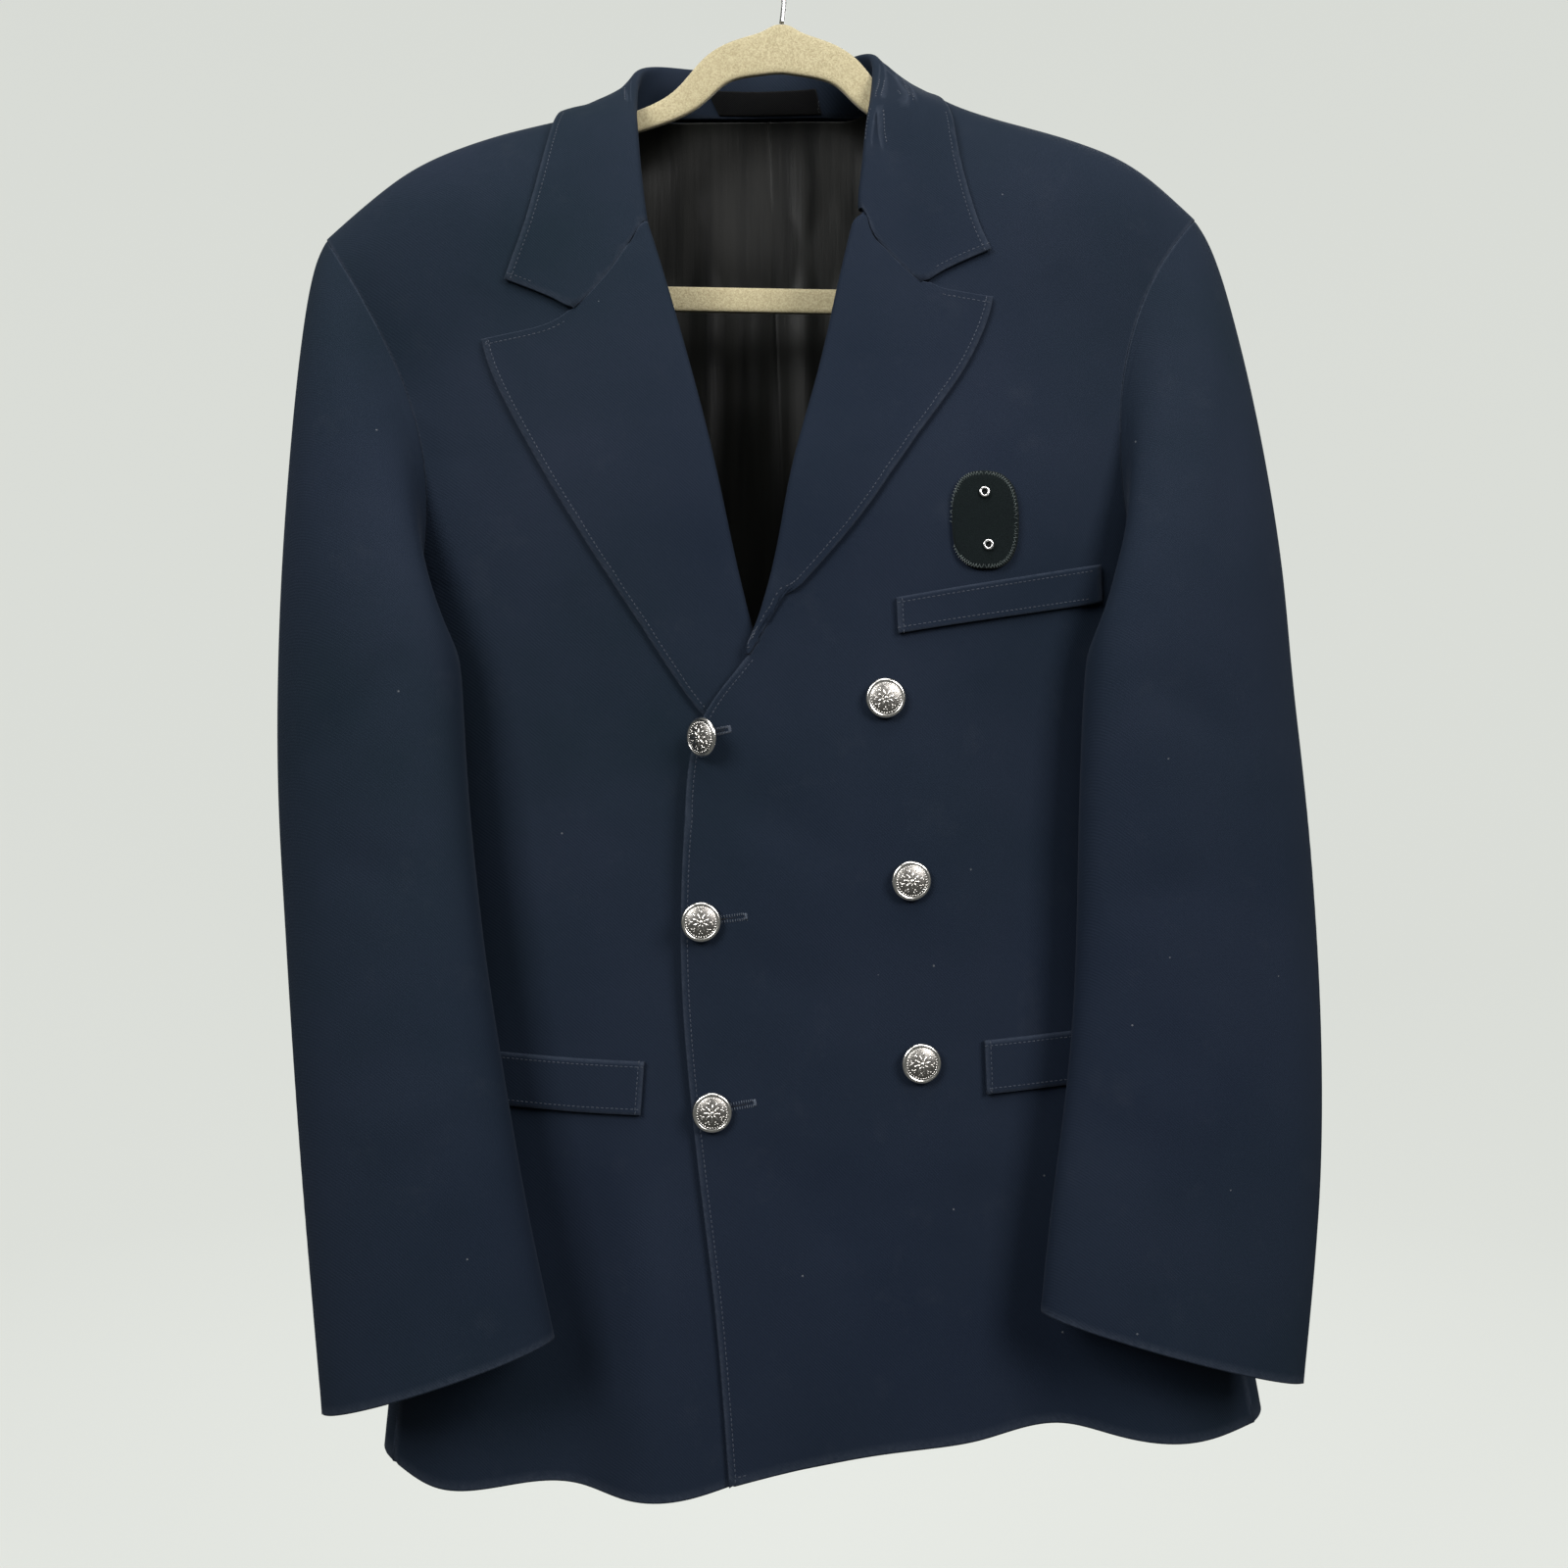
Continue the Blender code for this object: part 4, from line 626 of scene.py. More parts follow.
def buttonholes(shells):
    """Worked buttonholes: radial stitches round a slit, with a bar at the outer end; the slit is a dark strip
    of painted shade.
    """
    tree = tree_of(shells["front_left"])
    places, slits = [], []
    for hole in BUTTONHOLES:
        start, end = np.array((hole.x, hole.down)), np.array((hole.end_x, hole.end_down))
        length = np.linalg.norm(end - start)
        run = (end - start) / length
        across = np.array((-run[1], run[0]))
        for k in range(HOLE_STITCHES):
            turn = 2 * math.pi * k / HOLE_STITCHES
            reach = length / 2 + HOLE_HALF_WIDTH
            around = np.array((math.cos(turn) * reach, math.sin(turn) * HOLE_HALF_WIDTH * 1.6))
            around[0] = np.clip(around[0], -length / 2, length / 2) + (math.cos(turn) * 0.8)
            around[1] = np.clip(around[1], -HOLE_HALF_WIDTH, HOLE_HALF_WIDTH)
            spot = (start + end) / 2 + run * around[0] + across * around[1]
            place, normal = land(tree, spot[0], spot[1])
            if place is None:
                continue
            way = run * (around[0] if abs(around[0]) > length / 2 else 0) + across * around[1]
            along = np.array((way[0], 0, -way[1]))
            places.append((np.array(place), along, np.array(normal), 1.9 * MM))
        middle = (start + end) / 2
        place, normal = land(tree, *middle)
        slits.append((np.array(place), np.array((run[0], 0, -run[1])), np.array(normal), length * MM))
        place, normal = land(tree, *end)
        for k in range(5):
            step = run * (0.3 + k * 0.25)
            place, normal = land(tree, *(end + step))
            places.append((np.array(place), np.array((across[0], 0, -across[1])), np.array(normal), 4.6 * MM))
    worked = sew("buttonhole_stitches", places, 0.5 * MM, 0.55 * MM)
    # A dark strip along each slit: painted shade where the cut opens.
    painted_shade = sew("buttonhole_slits", slits, 0.7 * MM, 0.3 * MM)
    return worked, painted_shade


def button_frame(node):
    """The middle of a button's back and the axis through its face."""
    points = read_points(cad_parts[node].data)
    middle = (points.min(axis=0) + points.max(axis=0)) / 2
    middle = np.unique(np.round(points, 7), axis=0).mean(axis=0)
    _, _, rows = np.linalg.svd(points - middle)
    axis = rows[2] if rows[2][1] < 0 else -rows[2]
    heights = (points - middle) @ axis
    rim = points[np.linalg.norm(points - middle - np.outer(heights, axis), axis=1) > 0.9 * BUTTON_RADIUS * MM]
    middle = middle + axis * float(((rim - middle) @ axis).mean())
    middle = middle - axis * 1.7 * MM
    return Vector(middle), Vector(axis)


def make_button_master():
    """A domed shank button: turned shell, rope rim, bead ring and an eight-petalled star."""
    profile = [(0.0, 4.0), (2.4, 3.95), (4.8, 3.65), (7.2, 3.1), (8.9, 2.5), (9.1, 2.35), (9.3, 2.7),
               (10.3, 2.6), (11.0, 2.1), (11.2, 1.5), (11.0, 0.9), (10.2, 0.5), (8.5, 0.2), (4.0, -0.1),
               (2.2, -0.3), (2.0, -2.2), (1.4, -2.5), (0.0, -2.5)]
    shape = bmesh.new()
    verts = [shape.verts.new((radius * MM, 0, height * MM)) for radius, height in profile]
    edges = [shape.edges.new(pair) for pair in zip(verts, verts[1:])]
    bmesh.ops.spin(shape, geom=verts + edges, axis=(0, 0, 1), cent=(0, 0, 0), angle=2 * math.pi,
                   steps=48, use_merge=True)
    bmesh.ops.remove_doubles(shape, verts=shape.verts, dist=0.00001)
    bmesh.ops.recalc_face_normals(shape, faces=shape.faces)
    mesh = bpy.data.meshes.new("button_shell")
    shape.to_mesh(mesh)
    shape.free()
    shell = bpy.data.objects.new("button_shell", mesh)
    bpy.context.scene.collection.objects.link(shell)
    mesh.shade_smooth()
    ground = (np.linalg.norm(read_points(mesh)[:, :2], axis=1) < 9.0 * MM).astype(float)
    store(mesh, "ground", ground)
    parts = [shell]
    for k in range(BEAD_COUNT):
        turn = 2 * math.pi * k / BEAD_COUNT
        parts.append(relief(f"bead_{k}", (8.3 * math.cos(turn), 8.3 * math.sin(turn), 2.55),
                            (0.52, 0.52, 0.5), turn))
    for k in range(PETAL_COUNT):
        turn = 2 * math.pi * k / PETAL_COUNT
        parts.append(relief(f"petal_{k}", (3.3 * math.cos(turn), 3.3 * math.sin(turn), 3.75),
                            (2.1, 0.62, 0.55), turn))
        turn += math.pi / PETAL_COUNT
        parts.append(relief(f"leaf_{k}", (5.7 * math.cos(turn), 5.7 * math.sin(turn), 3.3),
                            (1.2, 0.5, 0.55), turn))
        for lean in (-0.16, 0.16):
            parts.append(relief(f"dart_{k}", (6.6 * math.cos(turn + lean), 6.6 * math.sin(turn + lean), 3.1),
                                (0.75, 0.32, 0.45), turn + lean * 4))
    parts.append(relief("boss", (0, 0, 3.95), (1.3, 1.3, 0.8), 0))
    deselect()
    for part in parts:
        part.select_set(True)
    bpy.context.view_layer.objects.active = shell
    bpy.ops.object.join()
    return shell


def relief(name, place, half, turn):
    """A small raised form on the button's face."""
    deselect()
    bpy.ops.mesh.primitive_ico_sphere_add(subdivisions=2, radius=1.0)
    piece = bpy.context.object
    piece.name = name
    outwards_lean = math.hypot(place[0], place[1]) * 0.06
    matrix = (Matrix.Translation(Vector(place) * MM) @ Matrix.Rotation(turn, 4, "Z")
              @ Matrix.Rotation(outwards_lean, 4, "Y") @ Matrix.Diagonal((*[h * MM for h in half], 1)))
    piece.data.transform(matrix)
    piece.data.shade_smooth()
    store(piece.data, "ground", np.zeros(len(piece.data.vertices)))
    return piece


def make_buttons(metal):
    master = make_button_master()
    for i, node in enumerate(BUTTON_NODES):
        middle, axis = button_frame(node)
        mesh = master.data.copy()
        side = axis.cross(Vector((0, 0, 1))).normalized()
        other = axis.cross(side)
        turned = Matrix((side, other, axis)).transposed().to_4x4()
        mesh.transform(Matrix.Translation(middle) @ turned @ Matrix.Rotation(0.37 * i, 4, "Z"))
        piece = bpy.data.objects.new(node + "_silver", mesh)
        bpy.context.scene.collection.objects.link(piece)
        finish_piece(piece, metal, "silver", node)
    bpy.data.objects.remove(master, do_unlink=True)


def make_eyelets(metal):
    """Rolled eyelets, each a ring with a smooth round section and a bore through it."""
    for node in EYELET_NODES:
        points = read_points(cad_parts[node].data)
        middle = points.mean(axis=0)
        _, _, rows = np.linalg.svd(points - middle)
        axis = Vector(rows[2] if rows[2][1] < 0 else -rows[2])
        deselect()
        bpy.ops.mesh.primitive_torus_add(major_radius=EYELET_RADIUS * MM, minor_radius=EYELET_WIRE * MM,
                                         major_segments=40, minor_segments=14)
        piece = bpy.context.object
        piece.name = node + "_ring"
        side = axis.cross(Vector((0, 0, 1))).normalized()
        turned = Matrix((side, axis.cross(side), axis)).transposed().to_4x4()
        piece.data.transform(Matrix.Translation(Vector(middle)) @ turned @ Matrix.Diagonal((1, 1, 0.75, 1)))
        piece.data.shade_smooth()
        store(piece.data, "ground", np.zeros(len(piece.data.vertices)))
        finish_piece(piece, metal, "silver", node)


def tab_rim(turn, share):
    """A place on the tab's outline: an oval with fuller sides than an ellipse."""
    across, along = math.cos(turn), math.sin(turn)
    power = 2 / TAB_FULLNESS
    return (TAB_CENTRE[0] + TAB_HALF[0] * share * math.copysign(abs(across) ** power, across),
            TAB_CENTRE[1] + TAB_HALF[1] * share * math.copysign(abs(along) ** power, along))


def make_tab(felt, thread, painted_shade):
    """The felt badge tab, its overlocked edge, and dark discs of painted shade in the bores of its eyelets.
    """
    row = Shell("badge_tab", 2, 38, 55, 0.0018, "front")
    piece = shell_of(row)
    wear_and_highlight_along_rims(piece)
    finish_piece(piece, felt, "felt", "badge_tab")
    tree = tree_of(piece)
    places = []
    for k in range(TAB_STITCHES):
        turn = 2 * math.pi * k / TAB_STITCHES
        for lean in (TAB_STITCH_LEAN, -TAB_STITCH_LEAN):
            x, down = tab_rim(turn + lean * math.pi / TAB_STITCHES, TAB_STITCH_REACH)
            place, normal = land(tree, x, down)
            if place is None:
                continue
            out = unit((x - TAB_CENTRE[0], 0, TAB_CENTRE[1] - down))
            side = np.array((-out[2], 0, out[0]))
            places.append((np.array(place), out + side * lean, np.array(normal), TAB_STITCH_LONG * MM))
    edge = sew("tab_overlock", places, TAB_STITCH_WIDE * MM, STITCH_THICK * MM)
    finish_piece(edge, thread, "felt")
    bores = []
    # Dark discs in the eyelets: painted shade where the bores go through the tab.
    for node in EYELET_NODES:
        points = read_points(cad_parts[node].data).mean(axis=0)
        place, normal = land(tree, points[0] / MM, -points[2] / MM)
        bores.append((np.array(place), np.array((1.0, 0, 0)), np.array(normal), EYELET_BORE * MM))
    bore = sew("eyelet_bores", bores, EYELET_BORE * MM, EYELET_BORE_DEEP * MM)
    finish_piece(bore, painted_shade, "felt")


def new_group(name, inputs, outputs):
    """A shader node group with named sockets; each input has its kind and its usual value."""
    group = bpy.data.node_groups.new(name, "ShaderNodeTree")
    for label, kind, value in inputs:
        socket = group.interface.new_socket(label, in_out="INPUT", socket_type=kind)
        if value is not None:
            socket.default_value = value
    for label, kind in outputs:
        group.interface.new_socket(label, in_out="OUTPUT", socket_type=kind)
    return group, group.nodes.new("NodeGroupInput"), group.nodes.new("NodeGroupOutput")


def add(tree, kind, **values):
    node = tree.nodes.new("ShaderNode" + kind)
    for name, value in values.items():
        setattr(node, name, value)
    return node


def math_node(tree, operation, first, second=None, clamp=False):
    node = add(tree, "Math", operation=operation, use_clamp=clamp)
    for socket, value in zip(node.inputs, (first, second)):
        if value is None:
            continue
        if isinstance(value, (int, float)):
            socket.default_value = value
        else:
            tree.links.new(value, socket)
    return node.outputs[0]


def scaled(tree, vector, scale):
    node = add(tree, "Mapping")
    node.inputs["Scale"].default_value = scale
    tree.links.new(vector, node.inputs["Vector"])
    return node.outputs[0]


def noise(tree, vector, scale, detail=3.0, rough=0.5):
    node = add(tree, "TexNoise")
    node.inputs["Detail"].default_value = detail
    node.inputs["Roughness"].default_value = rough
    if isinstance(scale, (int, float)):
        node.inputs["Scale"].default_value = scale
    else:
        tree.links.new(scale, node.inputs["Scale"])
    tree.links.new(vector, node.inputs["Vector"])
    return node.outputs["Fac"]


def span(tree, value, low, high, to_low=0.0, to_high=1.0):
    node = add(tree, "MapRange", clamp=True)
    tree.links.new(value, node.inputs["Value"])
    for name, number in (("From Min", low), ("From Max", high), ("To Min", to_low), ("To Max", to_high)):
        node.inputs[name].default_value = number
    return node.outputs["Result"]


def blend_colour(tree, share, first, second):
    node = add(tree, "Mix", data_type="RGBA")
    for socket, value in ((node.inputs[0], share), (node.inputs[6], first), (node.inputs[7], second)):
        if isinstance(value, (int, float)):
            socket.default_value = value
        elif isinstance(value, tuple):
            socket.default_value = (*value, 1.0)
        else:
            tree.links.new(value, socket)
    return node.outputs[2]


def make_weave_group():
    """Twill: fine diagonal ribs crossed by yarn, with a height and a tone."""
    group, given, result = new_group(
        "twill_weave",
        [("Vector", "NodeSocketVector", None), ("Ribs", "NodeSocketFloat", 330.0),
         ("Yarn", "NodeSocketFloat", 1500.0)],
        [("Height", "NodeSocketFloat"), ("Tone", "NodeSocketFloat")])
    ribs = add(group, "TexWave", wave_type="BANDS", bands_direction="DIAGONAL", wave_profile="SIN")
    ribs.inputs["Distortion"].default_value = 0.6
    ribs.inputs["Detail"].default_value = 1.0
    group.links.new(given.outputs["Vector"], ribs.inputs["Vector"])
    group.links.new(given.outputs["Ribs"], ribs.inputs["Scale"])
    yarn = noise(group, given.outputs["Vector"], given.outputs["Yarn"], 2.0, 0.6)
    height = math_node(group, "ADD", math_node(group, "MULTIPLY", ribs.outputs["Fac"], 0.6),
                       math_node(group, "MULTIPLY", yarn, 0.5))
    cloud = noise(group, given.outputs["Vector"], 9.0, 4.0, 0.55)
    tone = math_node(group, "ADD", math_node(group, "MULTIPLY", cloud, 0.7),
                     math_node(group, "MULTIPLY", yarn, 0.3))
    group.links.new(height, result.inputs["Height"])
    group.links.new(tone, result.inputs["Tone"])
    return group


def make_lint_group():
    """Sparse specks of lint and dust, more of them where the noise gathers."""
    group, given, result = new_group(
        "lint_and_dust",
        [("Vector", "NodeSocketVector", None), ("Spread", "NodeSocketFloat", 95.0),
         ("Size", "NodeSocketFloat", 0.055)],
        [("Specks", "NodeSocketFloat"), ("Haze", "NodeSocketFloat")])
    cells = add(group, "TexVoronoi", feature="F1")
    group.links.new(given.outputs["Vector"], cells.inputs["Vector"])
    group.links.new(given.outputs["Spread"], cells.inputs["Scale"])
    near = math_node(group, "LESS_THAN", cells.outputs["Distance"], given.outputs["Size"])
    chosen = add(group, "SeparateColor")
    group.links.new(cells.outputs["Color"], chosen.inputs["Color"])
    rare = math_node(group, "GREATER_THAN", chosen.outputs[0], 0.95)
    group.links.new(math_node(group, "MULTIPLY", near, rare), result.inputs["Specks"])
    haze = span(group, noise(group, given.outputs["Vector"], 26.0, 6.0, 0.7), 0.58, 0.8)
    group.links.new(haze, result.inputs["Haze"])
    return group


def make_rub_group():
    """Rubbed edges: a rim mark broken up by fine noise; on the wool its paler rims are partly rubbed wear and
    partly a painted highlight along the folded edges.
    """
    group, given, result = new_group(
        "rubbed_edge_and_highlight",
        [("Vector", "NodeSocketVector", None), ("Mark", "NodeSocketFloat", 0.0),
         ("Strength", "NodeSocketFloat", 0.6)],
        [("Share", "NodeSocketFloat")])
    broken = span(group, noise(group, given.outputs["Vector"], 420.0, 3.0, 0.6), 0.3, 0.7, 0.35, 1.0)
    share = math_node(group, "MULTIPLY", math_node(group, "MULTIPLY", given.outputs["Mark"], broken),
                      given.outputs["Strength"], clamp=True)
    group.links.new(share, result.inputs["Share"])
    return group


def use_group(tree, group, **values):
    node = tree.nodes.new("ShaderNodeGroup")
    node.node_tree = group
    for name, value in values.items():
        socket = node.inputs[name]
        if isinstance(value, (int, float)):
            socket.default_value = value
        else:
            tree.links.new(value, socket)
    return node


def new_material(name, roughness=None, **values):
    """A material, its shader with the values that are the same all over, and where it reads its place."""
    made = bpy.data.materials.new(name)
    made.use_nodes = True
    tree = made.node_tree
    shader = tree.nodes["Principled BSDF"]
    for label, value in values.items():
        shader.inputs[label.replace("_", " ")].default_value = value
    if roughness is not None:
        shader.inputs["Roughness"].default_value = roughness
    place = add(tree, "TexCoord").outputs["Object"]
    return made, tree, shader, place


def bump(tree, shader, height, strength, distance):
    node = add(tree, "Bump")
    node.inputs["Strength"].default_value = strength
    node.inputs["Distance"].default_value = distance
    tree.links.new(height, node.inputs["Height"])
    tree.links.new(node.outputs["Normal"], shader.inputs["Normal"])


def mark(tree, name):
    return add(tree, "Attribute", attribute_type="GEOMETRY", attribute_name=name).outputs["Fac"]


def make_wool(groups):
    made, tree, shader, place = new_material(
        "navy_worsted", Sheen_Weight=0.05, Sheen_Roughness=0.45, Specular_IOR_Level=0.12)
    shader.inputs["Sheen Tint"].default_value = (0.42, 0.50, 0.66, 1.0)
    weave = use_group(tree, groups["weave"], Vector=place)
    lint = use_group(tree, groups["lint"], Vector=place)
    rub = use_group(tree, groups["rub"], Vector=place, Mark=mark(tree, "rim"), Strength=0.5)
    drift = span(tree, noise(tree, place, 3.0, 2.0), 0.35, 0.65)
    navy = blend_colour(tree, drift, WOOL_DEEP, WOOL_GREENISH)
    navy = blend_colour(tree, span(tree, weave.outputs["Tone"], 0.3, 0.7), navy, WOOL_LIGHT)
    # Paler rims: partly rubbed wear, partly a painted highlight along the folded edges.
    navy = blend_colour(tree, rub.outputs["Share"], navy, WOOL_RUBBED_AND_HIGHLIGHT)
    navy = blend_colour(tree, math_node(tree, "MULTIPLY", lint.outputs["Haze"], 0.02), navy, DUST)
    navy = blend_colour(tree, math_node(tree, "MULTIPLY", lint.outputs["Specks"], 0.35), navy, DUST)
    tree.links.new(navy, shader.inputs["Base Color"])
    tree.links.new(span(tree, weave.outputs["Tone"], 0.2, 0.8, 0.9, 0.74), shader.inputs["Roughness"])
    bump(tree, shader, weave.outputs["Height"], 0.35, 0.00022)
    return made


def make_satin(groups):
    made, tree, shader, place = new_material(
        "lining_satin", Sheen_Weight=0.0, Specular_IOR_Level=0.17, Anisotropic=0.4)
    reflection_streaks = noise(tree, scaled(tree, place, (70.0, 20.0, 4.0)), 1.0, 4.0, 0.6)
    threads = noise(tree, scaled(tree, place, (3200.0, 3200.0, 260.0)), 1.0, 1.0)
    lint = use_group(tree, groups["lint"], Vector=place, Spread=70.0)
    # The lighter vertical streaks in the colour are painted reflections of the satin's sheen.
    colour = blend_colour(tree, span(tree, reflection_streaks, 0.35, 0.65), SATIN_DEEP, SATIN_STREAK_REFLECTION)
    colour = blend_colour(tree, math_node(tree, "MULTIPLY", lint.outputs["Haze"], 0.12), colour, SATIN_WARM)
    tree.links.new(colour, shader.inputs["Base Color"])
    tree.links.new(span(tree, reflection_streaks, 0.3, 0.7, 0.34, 0.48), shader.inputs["Roughness"])
    height = math_node(tree, "ADD", math_node(tree, "MULTIPLY", reflection_streaks, 0.8),
                       math_node(tree, "MULTIPLY", threads, 0.06))
    bump(tree, shader, height, 0.5, 0.0012)
    return made


def make_felt(groups):
    made, tree, shader, place = new_material(
        "badge_felt", Sheen_Weight=0.04, Sheen_Roughness=0.6, Specular_IOR_Level=0.08)
    fibres = noise(tree, place, 1400.0, 5.0, 0.7)
    rub = use_group(tree, groups["rub"], Vector=place, Mark=mark(tree, "rim"), Strength=0.3)
    colour = blend_colour(tree, span(tree, fibres, 0.3, 0.75), FELT_DEEP, FELT_LIGHT)
    colour = blend_colour(tree, rub.outputs["Share"], colour, FELT_LIGHT)
    tree.links.new(colour, shader.inputs["Base Color"])
    tree.links.new(span(tree, fibres, 0.2, 0.8, 0.98, 0.86), shader.inputs["Roughness"])
    bump(tree, shader, fibres, 0.6, 0.0004)
    return made


def make_label_cloth(groups):
    made, tree, shader, place = new_material("woven_ribbon", Sheen_Weight=0.0, Specular_IOR_Level=0.06)
    weave = use_group(tree, groups["weave"], Vector=place, Ribs=520.0, Yarn=2600.0)
    rub = use_group(tree, groups["rub"], Vector=place, Mark=mark(tree, "rim"), Strength=0.4)
    colour = blend_colour(tree, span(tree, weave.outputs["Height"], 0.3, 0.9), LABEL_DEEP, LABEL_LIGHT)
    colour = blend_colour(tree, rub.outputs["Share"], colour, SATIN_WARM)
    tree.links.new(colour, shader.inputs["Base Color"])
    tree.links.new(span(tree, weave.outputs["Tone"], 0.2, 0.8, 0.62, 0.5), shader.inputs["Roughness"])
    bump(tree, shader, weave.outputs["Height"], 0.6, 0.0003)
    return made


def make_thread(name, deep, light, groups):
    made, tree, shader, place = new_material(name, Sheen_Weight=0.2, Specular_IOR_Level=0.35)
    twist = use_group(tree, groups["weave"], Vector=place, Ribs=900.0, Yarn=3000.0)
    colour = blend_colour(tree, span(tree, twist.outputs["Tone"], 0.3, 0.7), deep, light)
    tree.links.new(colour, shader.inputs["Base Color"])
    tree.links.new(span(tree, twist.outputs["Height"], 0.2, 0.9, 0.75, 0.6), shader.inputs["Roughness"])
    bump(tree, shader, twist.outputs["Height"], 0.4, 0.0001)
    return made


def make_flock(groups):
    made, tree, shader, place = new_material(
        "beige_flock", Sheen_Weight=0.35, Sheen_Roughness=0.5, Specular_IOR_Level=0.2)
    grains = noise(tree, place, 900.0, 4.0, 0.75)
    patches = noise(tree, place, 14.0, 4.0, 0.6)
    rub = use_group(tree, groups["rub"], Vector=place, Mark=mark(tree, "rim"), Strength=0.25)
    colour = blend_colour(tree, span(tree, grains, 0.32, 0.62), FLOCK_DEEP, FLOCK_LIGHT)
    colour = blend_colour(tree, span(tree, patches, 0.55, 0.8, 0.0, 0.35), colour, FLOCK_DEEP)
    colour = blend_colour(tree, rub.outputs["Share"], colour, FLOCK_LIGHT)
    tree.links.new(colour, shader.inputs["Base Color"])
    tree.links.new(span(tree, grains, 0.2, 0.8, 1.0, 0.85), shader.inputs["Roughness"])
    bump(tree, shader, grains, 0.7, 0.0005)
    return made


def make_silver(groups):
    """Plated buttons: bright relief over a duller, darker ground."""
    made, tree, shader, place = new_material("plated_silver")
    ground = mark(tree, "ground")
    tarnish = span(tree, noise(tree, place, 700.0, 4.0, 0.65), 0.35, 0.7)
    rub = use_group(tree, groups["rub"], Vector=place, Mark=tarnish, Strength=0.25)
    colour = blend_colour(tree, math_node(tree, "MULTIPLY", ground, 0.75), SILVER_BRIGHT, SILVER_GROUND)
    colour = blend_colour(tree, rub.outputs["Share"], colour, SILVER_WARM)
    tree.links.new(colour, shader.inputs["Base Color"])
    rough = math_node(tree, "ADD", span(tree, tarnish, 0.0, 1.0, 0.16, 0.27),
                      math_node(tree, "MULTIPLY", ground, 0.16))
    tree.links.new(rough, shader.inputs["Roughness"])
    shader.inputs["Metallic"].default_value = 1.0
    bump(tree, shader, noise(tree, place, 1100.0, 3.0), 0.35, 0.00012)
    return made


def make_wire(groups):
    made, tree, shader, place = new_material("bright_wire")
    drawn = noise(tree, scaled(tree, place, (2200.0, 2200.0, 90.0)), 1.0, 2.0)
    rub = use_group(tree, groups["rub"], Vector=place, Mark=drawn, Strength=0.3)
    colour = blend_colour(tree, rub.outputs["Share"], WIRE_BRIGHT, WIRE_DULL)
    tree.links.new(colour, shader.inputs["Base Color"])
    tree.links.new(span(tree, drawn, 0.2, 0.8, 0.14, 0.26), shader.inputs["Roughness"])
    shader.inputs["Metallic"].default_value = 1.0
    bump(tree, shader, drawn, 0.2, 0.0001)
    return made


def make_plain(name, colour, roughness):
    made, tree, shader, place = new_material(name)
    shade = span(tree, noise(tree, place, 5.0, 2.0), 0.3, 0.7, 0.96, 1.0)
    tinted = blend_colour(tree, shade, tuple(c * 0.93 for c in colour), colour)
    tree.links.new(tinted, shader.inputs["Base Color"])
    shader.inputs["Roughness"].default_value = roughness
    return made


def make_cloth(wool):
    """Every wool shell on its node's form, pressed, with its rims marked for wear and for a painted highlight
    along the folded edges.
    """
    shells = {}
    for row in SHELLS:
        piece = shell_of(row)
        wear_and_highlight_along_rims(piece)
        press(piece, row.way)
        shells[row.node] = finish_piece(piece, wool, "wool", row.node)
    for first, second, reach in SEAMS:
        close_seam(shells[first], shells[second], reach)
    set_in_sleeves(shells)
    return shells


def joined_tree(pieces):
    """One search tree over several shells."""
    points, faces = [], []
    for piece in pieces:
        first = len(points)
        points.extend(vertex.co for vertex in piece.data.vertices)
        faces.extend(tuple(first + i for i in face.vertices) for face in piece.data.polygons)
    return BVHTree.FromPolygons(points, faces)


def set_in_sleeves(shells):
    body = [shells[name] for name in BODY_SHELLS]
    body_tree = joined_tree(body)
    rims = np.concatenate([read_points(piece.data)[rim_points(piece)] for piece in body])
    rim_tree = point_tree(rims)
    for name, piece in shells.items():
        if name.startswith("sleeve"):
            sew_in(piece, body_tree, rim_tree)


def make_linings(satin, shells):
    backs = [tree_of(shells[name]) for name in ("back_left", "back_right")]
    halves = []
    for row in LINING_SHELLS:
        piece = shell_of(row)
        wear_and_highlight_along_rims(piece)
        press(piece, row.way)
        clear_of(piece, backs, LAYER_GAP)
        halves.append((finish_piece(piece, satin, "satin", row.node), row))
    close_seam(halves[0][0], halves[1][0], LINING_SEAM)


def make_label(cloth, thread, shells):
    """A bare woven ribbon inside the neck, tacked down at both its ends."""
    row = Shell("label", 3, 66, 18, 0.00115, "none")
    piece = shell_of(row)
    wear_and_highlight_along_rims(piece)
    clear_of(piece, [tree_of(shells["collar"])], LAYER_GAP)
    finish_piece(piece, cloth, "woven_label", "label")
    tree = tree_of(piece)
    low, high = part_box("label")
    places = []
    for side, x in ((1, low[0] / MM + LABEL_TACK_INSET), (-1, high[0] / MM - LABEL_TACK_INSET)):
        for k in range(LABEL_TACKS):
            share = (k + 0.5) / LABEL_TACKS
            down = (-high[2] + (high[2] - low[2]) * (0.1 + 0.8 * share)) / MM
            place, normal = land(tree, x, down)
            if place is None:
                continue
            lean = 0.6 if k % 2 else -0.6
            places.append((np.array(place), np.array((side * lean, 0.0, -1.0)), np.array(normal), 1.9 * MM))
    tacks = sew("label_tacks", places, STITCH_THICK * MM, STITCH_THICK * MM)
    finish_piece(tacks, thread, "woven_label")


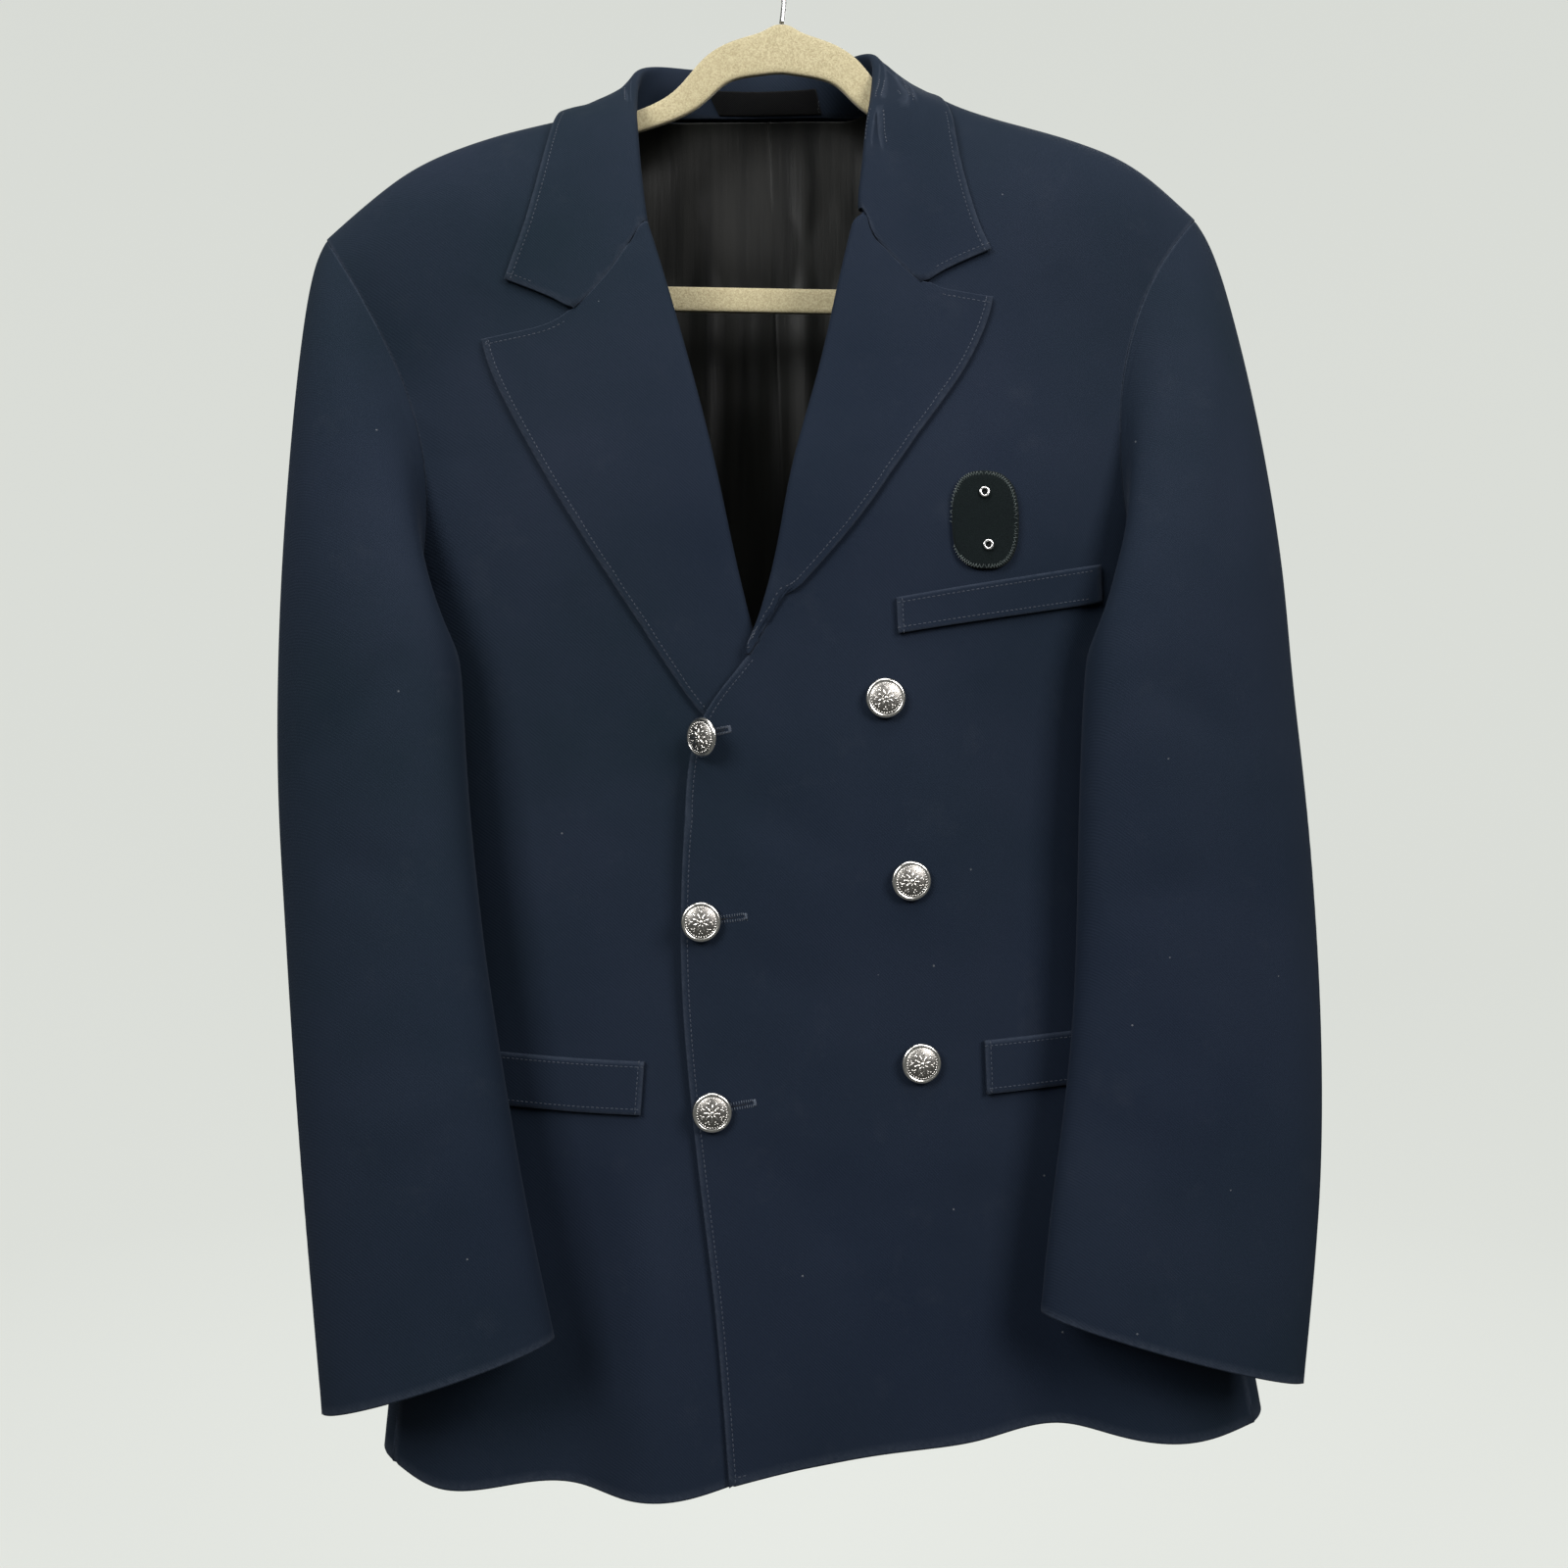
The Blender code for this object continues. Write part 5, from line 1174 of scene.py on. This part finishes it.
def make_hanger(flock, wire):
    """The flocked hanger, and the bright wire hook that carries it."""
    body = shell_of(Shell("hanger_body", 2, 0, 0, 0, "none"))
    wear_and_highlight_along_rims(body)
    body.name = "hanger_flocked"
    finish_piece(body, flock, "flock", "hanger_body")
    hook = shell_of(Shell("hanger_hook", 2, 0, 0, 0, "none"))
    hook.name = "hanger_wire_hook"
    finish_piece(hook, wire, "steel", "hanger_hook")


def make_sewing(shells, thread, hole_thread, painted_shade):
    """Topstitching and worked buttonholes, which go with the cloth that they are sewn in."""
    rows = finish_piece(sewn_rows(shells), thread, "wool")
    worked, slits = buttonholes(shells)
    finish_piece(worked, hole_thread, "wool")
    finish_piece(slits, painted_shade, "wool")


def make_backdrop():
    """A pale studio sweep: a floor that curves up into a wall all round, seen but casting nothing."""
    profile = [(0.0, 0.0), (BOWL_RADIUS - BOWL_CURVE, 0.0)]
    for step in range(1, BOWL_STEPS + 1):
        turn = math.pi / 2 * step / BOWL_STEPS
        out = BOWL_RADIUS - BOWL_CURVE + BOWL_CURVE * math.sin(turn)
        profile.append((out, BOWL_CURVE * (1 - math.cos(turn))))
    profile.append((BOWL_RADIUS, BOWL_HEIGHT))
    shape = bmesh.new()
    verts = [shape.verts.new((radius, 0, height - FLOOR_DOWN * MM)) for radius, height in profile]
    edges = [shape.edges.new(pair) for pair in zip(verts, verts[1:])]
    bmesh.ops.spin(shape, geom=verts + edges, axis=(0, 0, 1), cent=(0, 0, 0), angle=2 * math.pi,
                   steps=96, use_merge=True)
    bmesh.ops.remove_doubles(shape, verts=shape.verts, dist=0.0001)
    mesh = bpy.data.meshes.new("studio_sweep")
    shape.to_mesh(mesh)
    shape.free()
    mesh.shade_smooth()
    sweep = bpy.data.objects.new("studio_sweep", mesh)
    bpy.context.scene.collection.objects.link(sweep)
    paper = make_plain("studio_paper", FLOOR_PALE, 0.9)
    shader = paper.node_tree.nodes["Principled BSDF"]
    shader.inputs["Emission Color"].default_value = (*ROOM_PALE, 1.0)
    shader.inputs["Emission Strength"].default_value = BACKDROP_GLOW
    mesh.materials.append(paper)
    for kind in ("visible_diffuse", "visible_glossy", "visible_shadow"):
        setattr(sweep, kind, False)


def make_room():
    """Dim pale light from all round, to fill the shadows."""
    world = bpy.data.worlds.new("pale_room")
    world.use_nodes = True
    back = world.node_tree.nodes["Background"]
    back.inputs["Color"].default_value = (*ROOM_PALE, 1.0)
    back.inputs["Strength"].default_value = ROOM_LIGHT
    bpy.context.scene.world = world
    bpy.context.scene.view_settings.view_transform = "Standard"


def make_lamps():
    for lamp in LAMPS:
        light = bpy.data.lights.new(lamp.name, "AREA")
        light.shape = "SQUARE"
        light.size = lamp.side
        light.energy = lamp.power
        light.color = (1.0, lamp.warmth, lamp.warmth)
        holder = bpy.data.objects.new(lamp.name, light)
        holder.location = lamp.place
        away = Vector(lamp.place) - Vector(lamp.aim)
        holder.rotation_euler = away.to_track_quat("Z", "Y").to_euler()
        holder.visible_camera = False
        bpy.context.scene.collection.objects.link(holder)


def make_camera():
    camera = bpy.data.cameras.new("photo_camera")
    camera.lens = LENS
    camera.sensor_width = LENS
    camera.clip_start = 0.01
    holder = bpy.data.objects.new("photo_camera", camera)
    holder.location = CAMERA_PLACE
    holder.rotation_euler = (math.pi / 2, 0, 0)
    bpy.context.scene.collection.objects.link(holder)
    bpy.context.scene.camera = holder


def main():
    groups = {"weave": make_weave_group(), "lint": make_lint_group(), "rub": make_rub_group()}
    make_camera()
    make_room()
    make_lamps()
    make_backdrop()
    wool = make_wool(groups)
    silver = make_silver(groups)
    wire = make_wire(groups)
    # A dark material of painted shade, for the buttonhole slits and the eyelet bores.
    painted_shade = make_plain("painted_slit_shade", SLIT_SHADE, 0.9)
    navy_thread = make_thread("navy_thread", *NAVY_THREAD, groups)
    hole_thread = make_thread("buttonhole_twist", *HOLE_THREAD, groups)
    overlock = make_thread("overlock_thread", *OVERLOCK_THREAD, groups)
    shells = make_cloth(wool)
    make_sewing(shells, navy_thread, hole_thread, painted_shade)
    make_linings(make_satin(groups), shells)
    make_label(make_label_cloth(groups), navy_thread, shells)
    make_tab(make_felt(groups), overlock, painted_shade)
    make_eyelets(wire)
    make_buttons(silver)
    make_hanger(make_flock(groups), wire)


main()
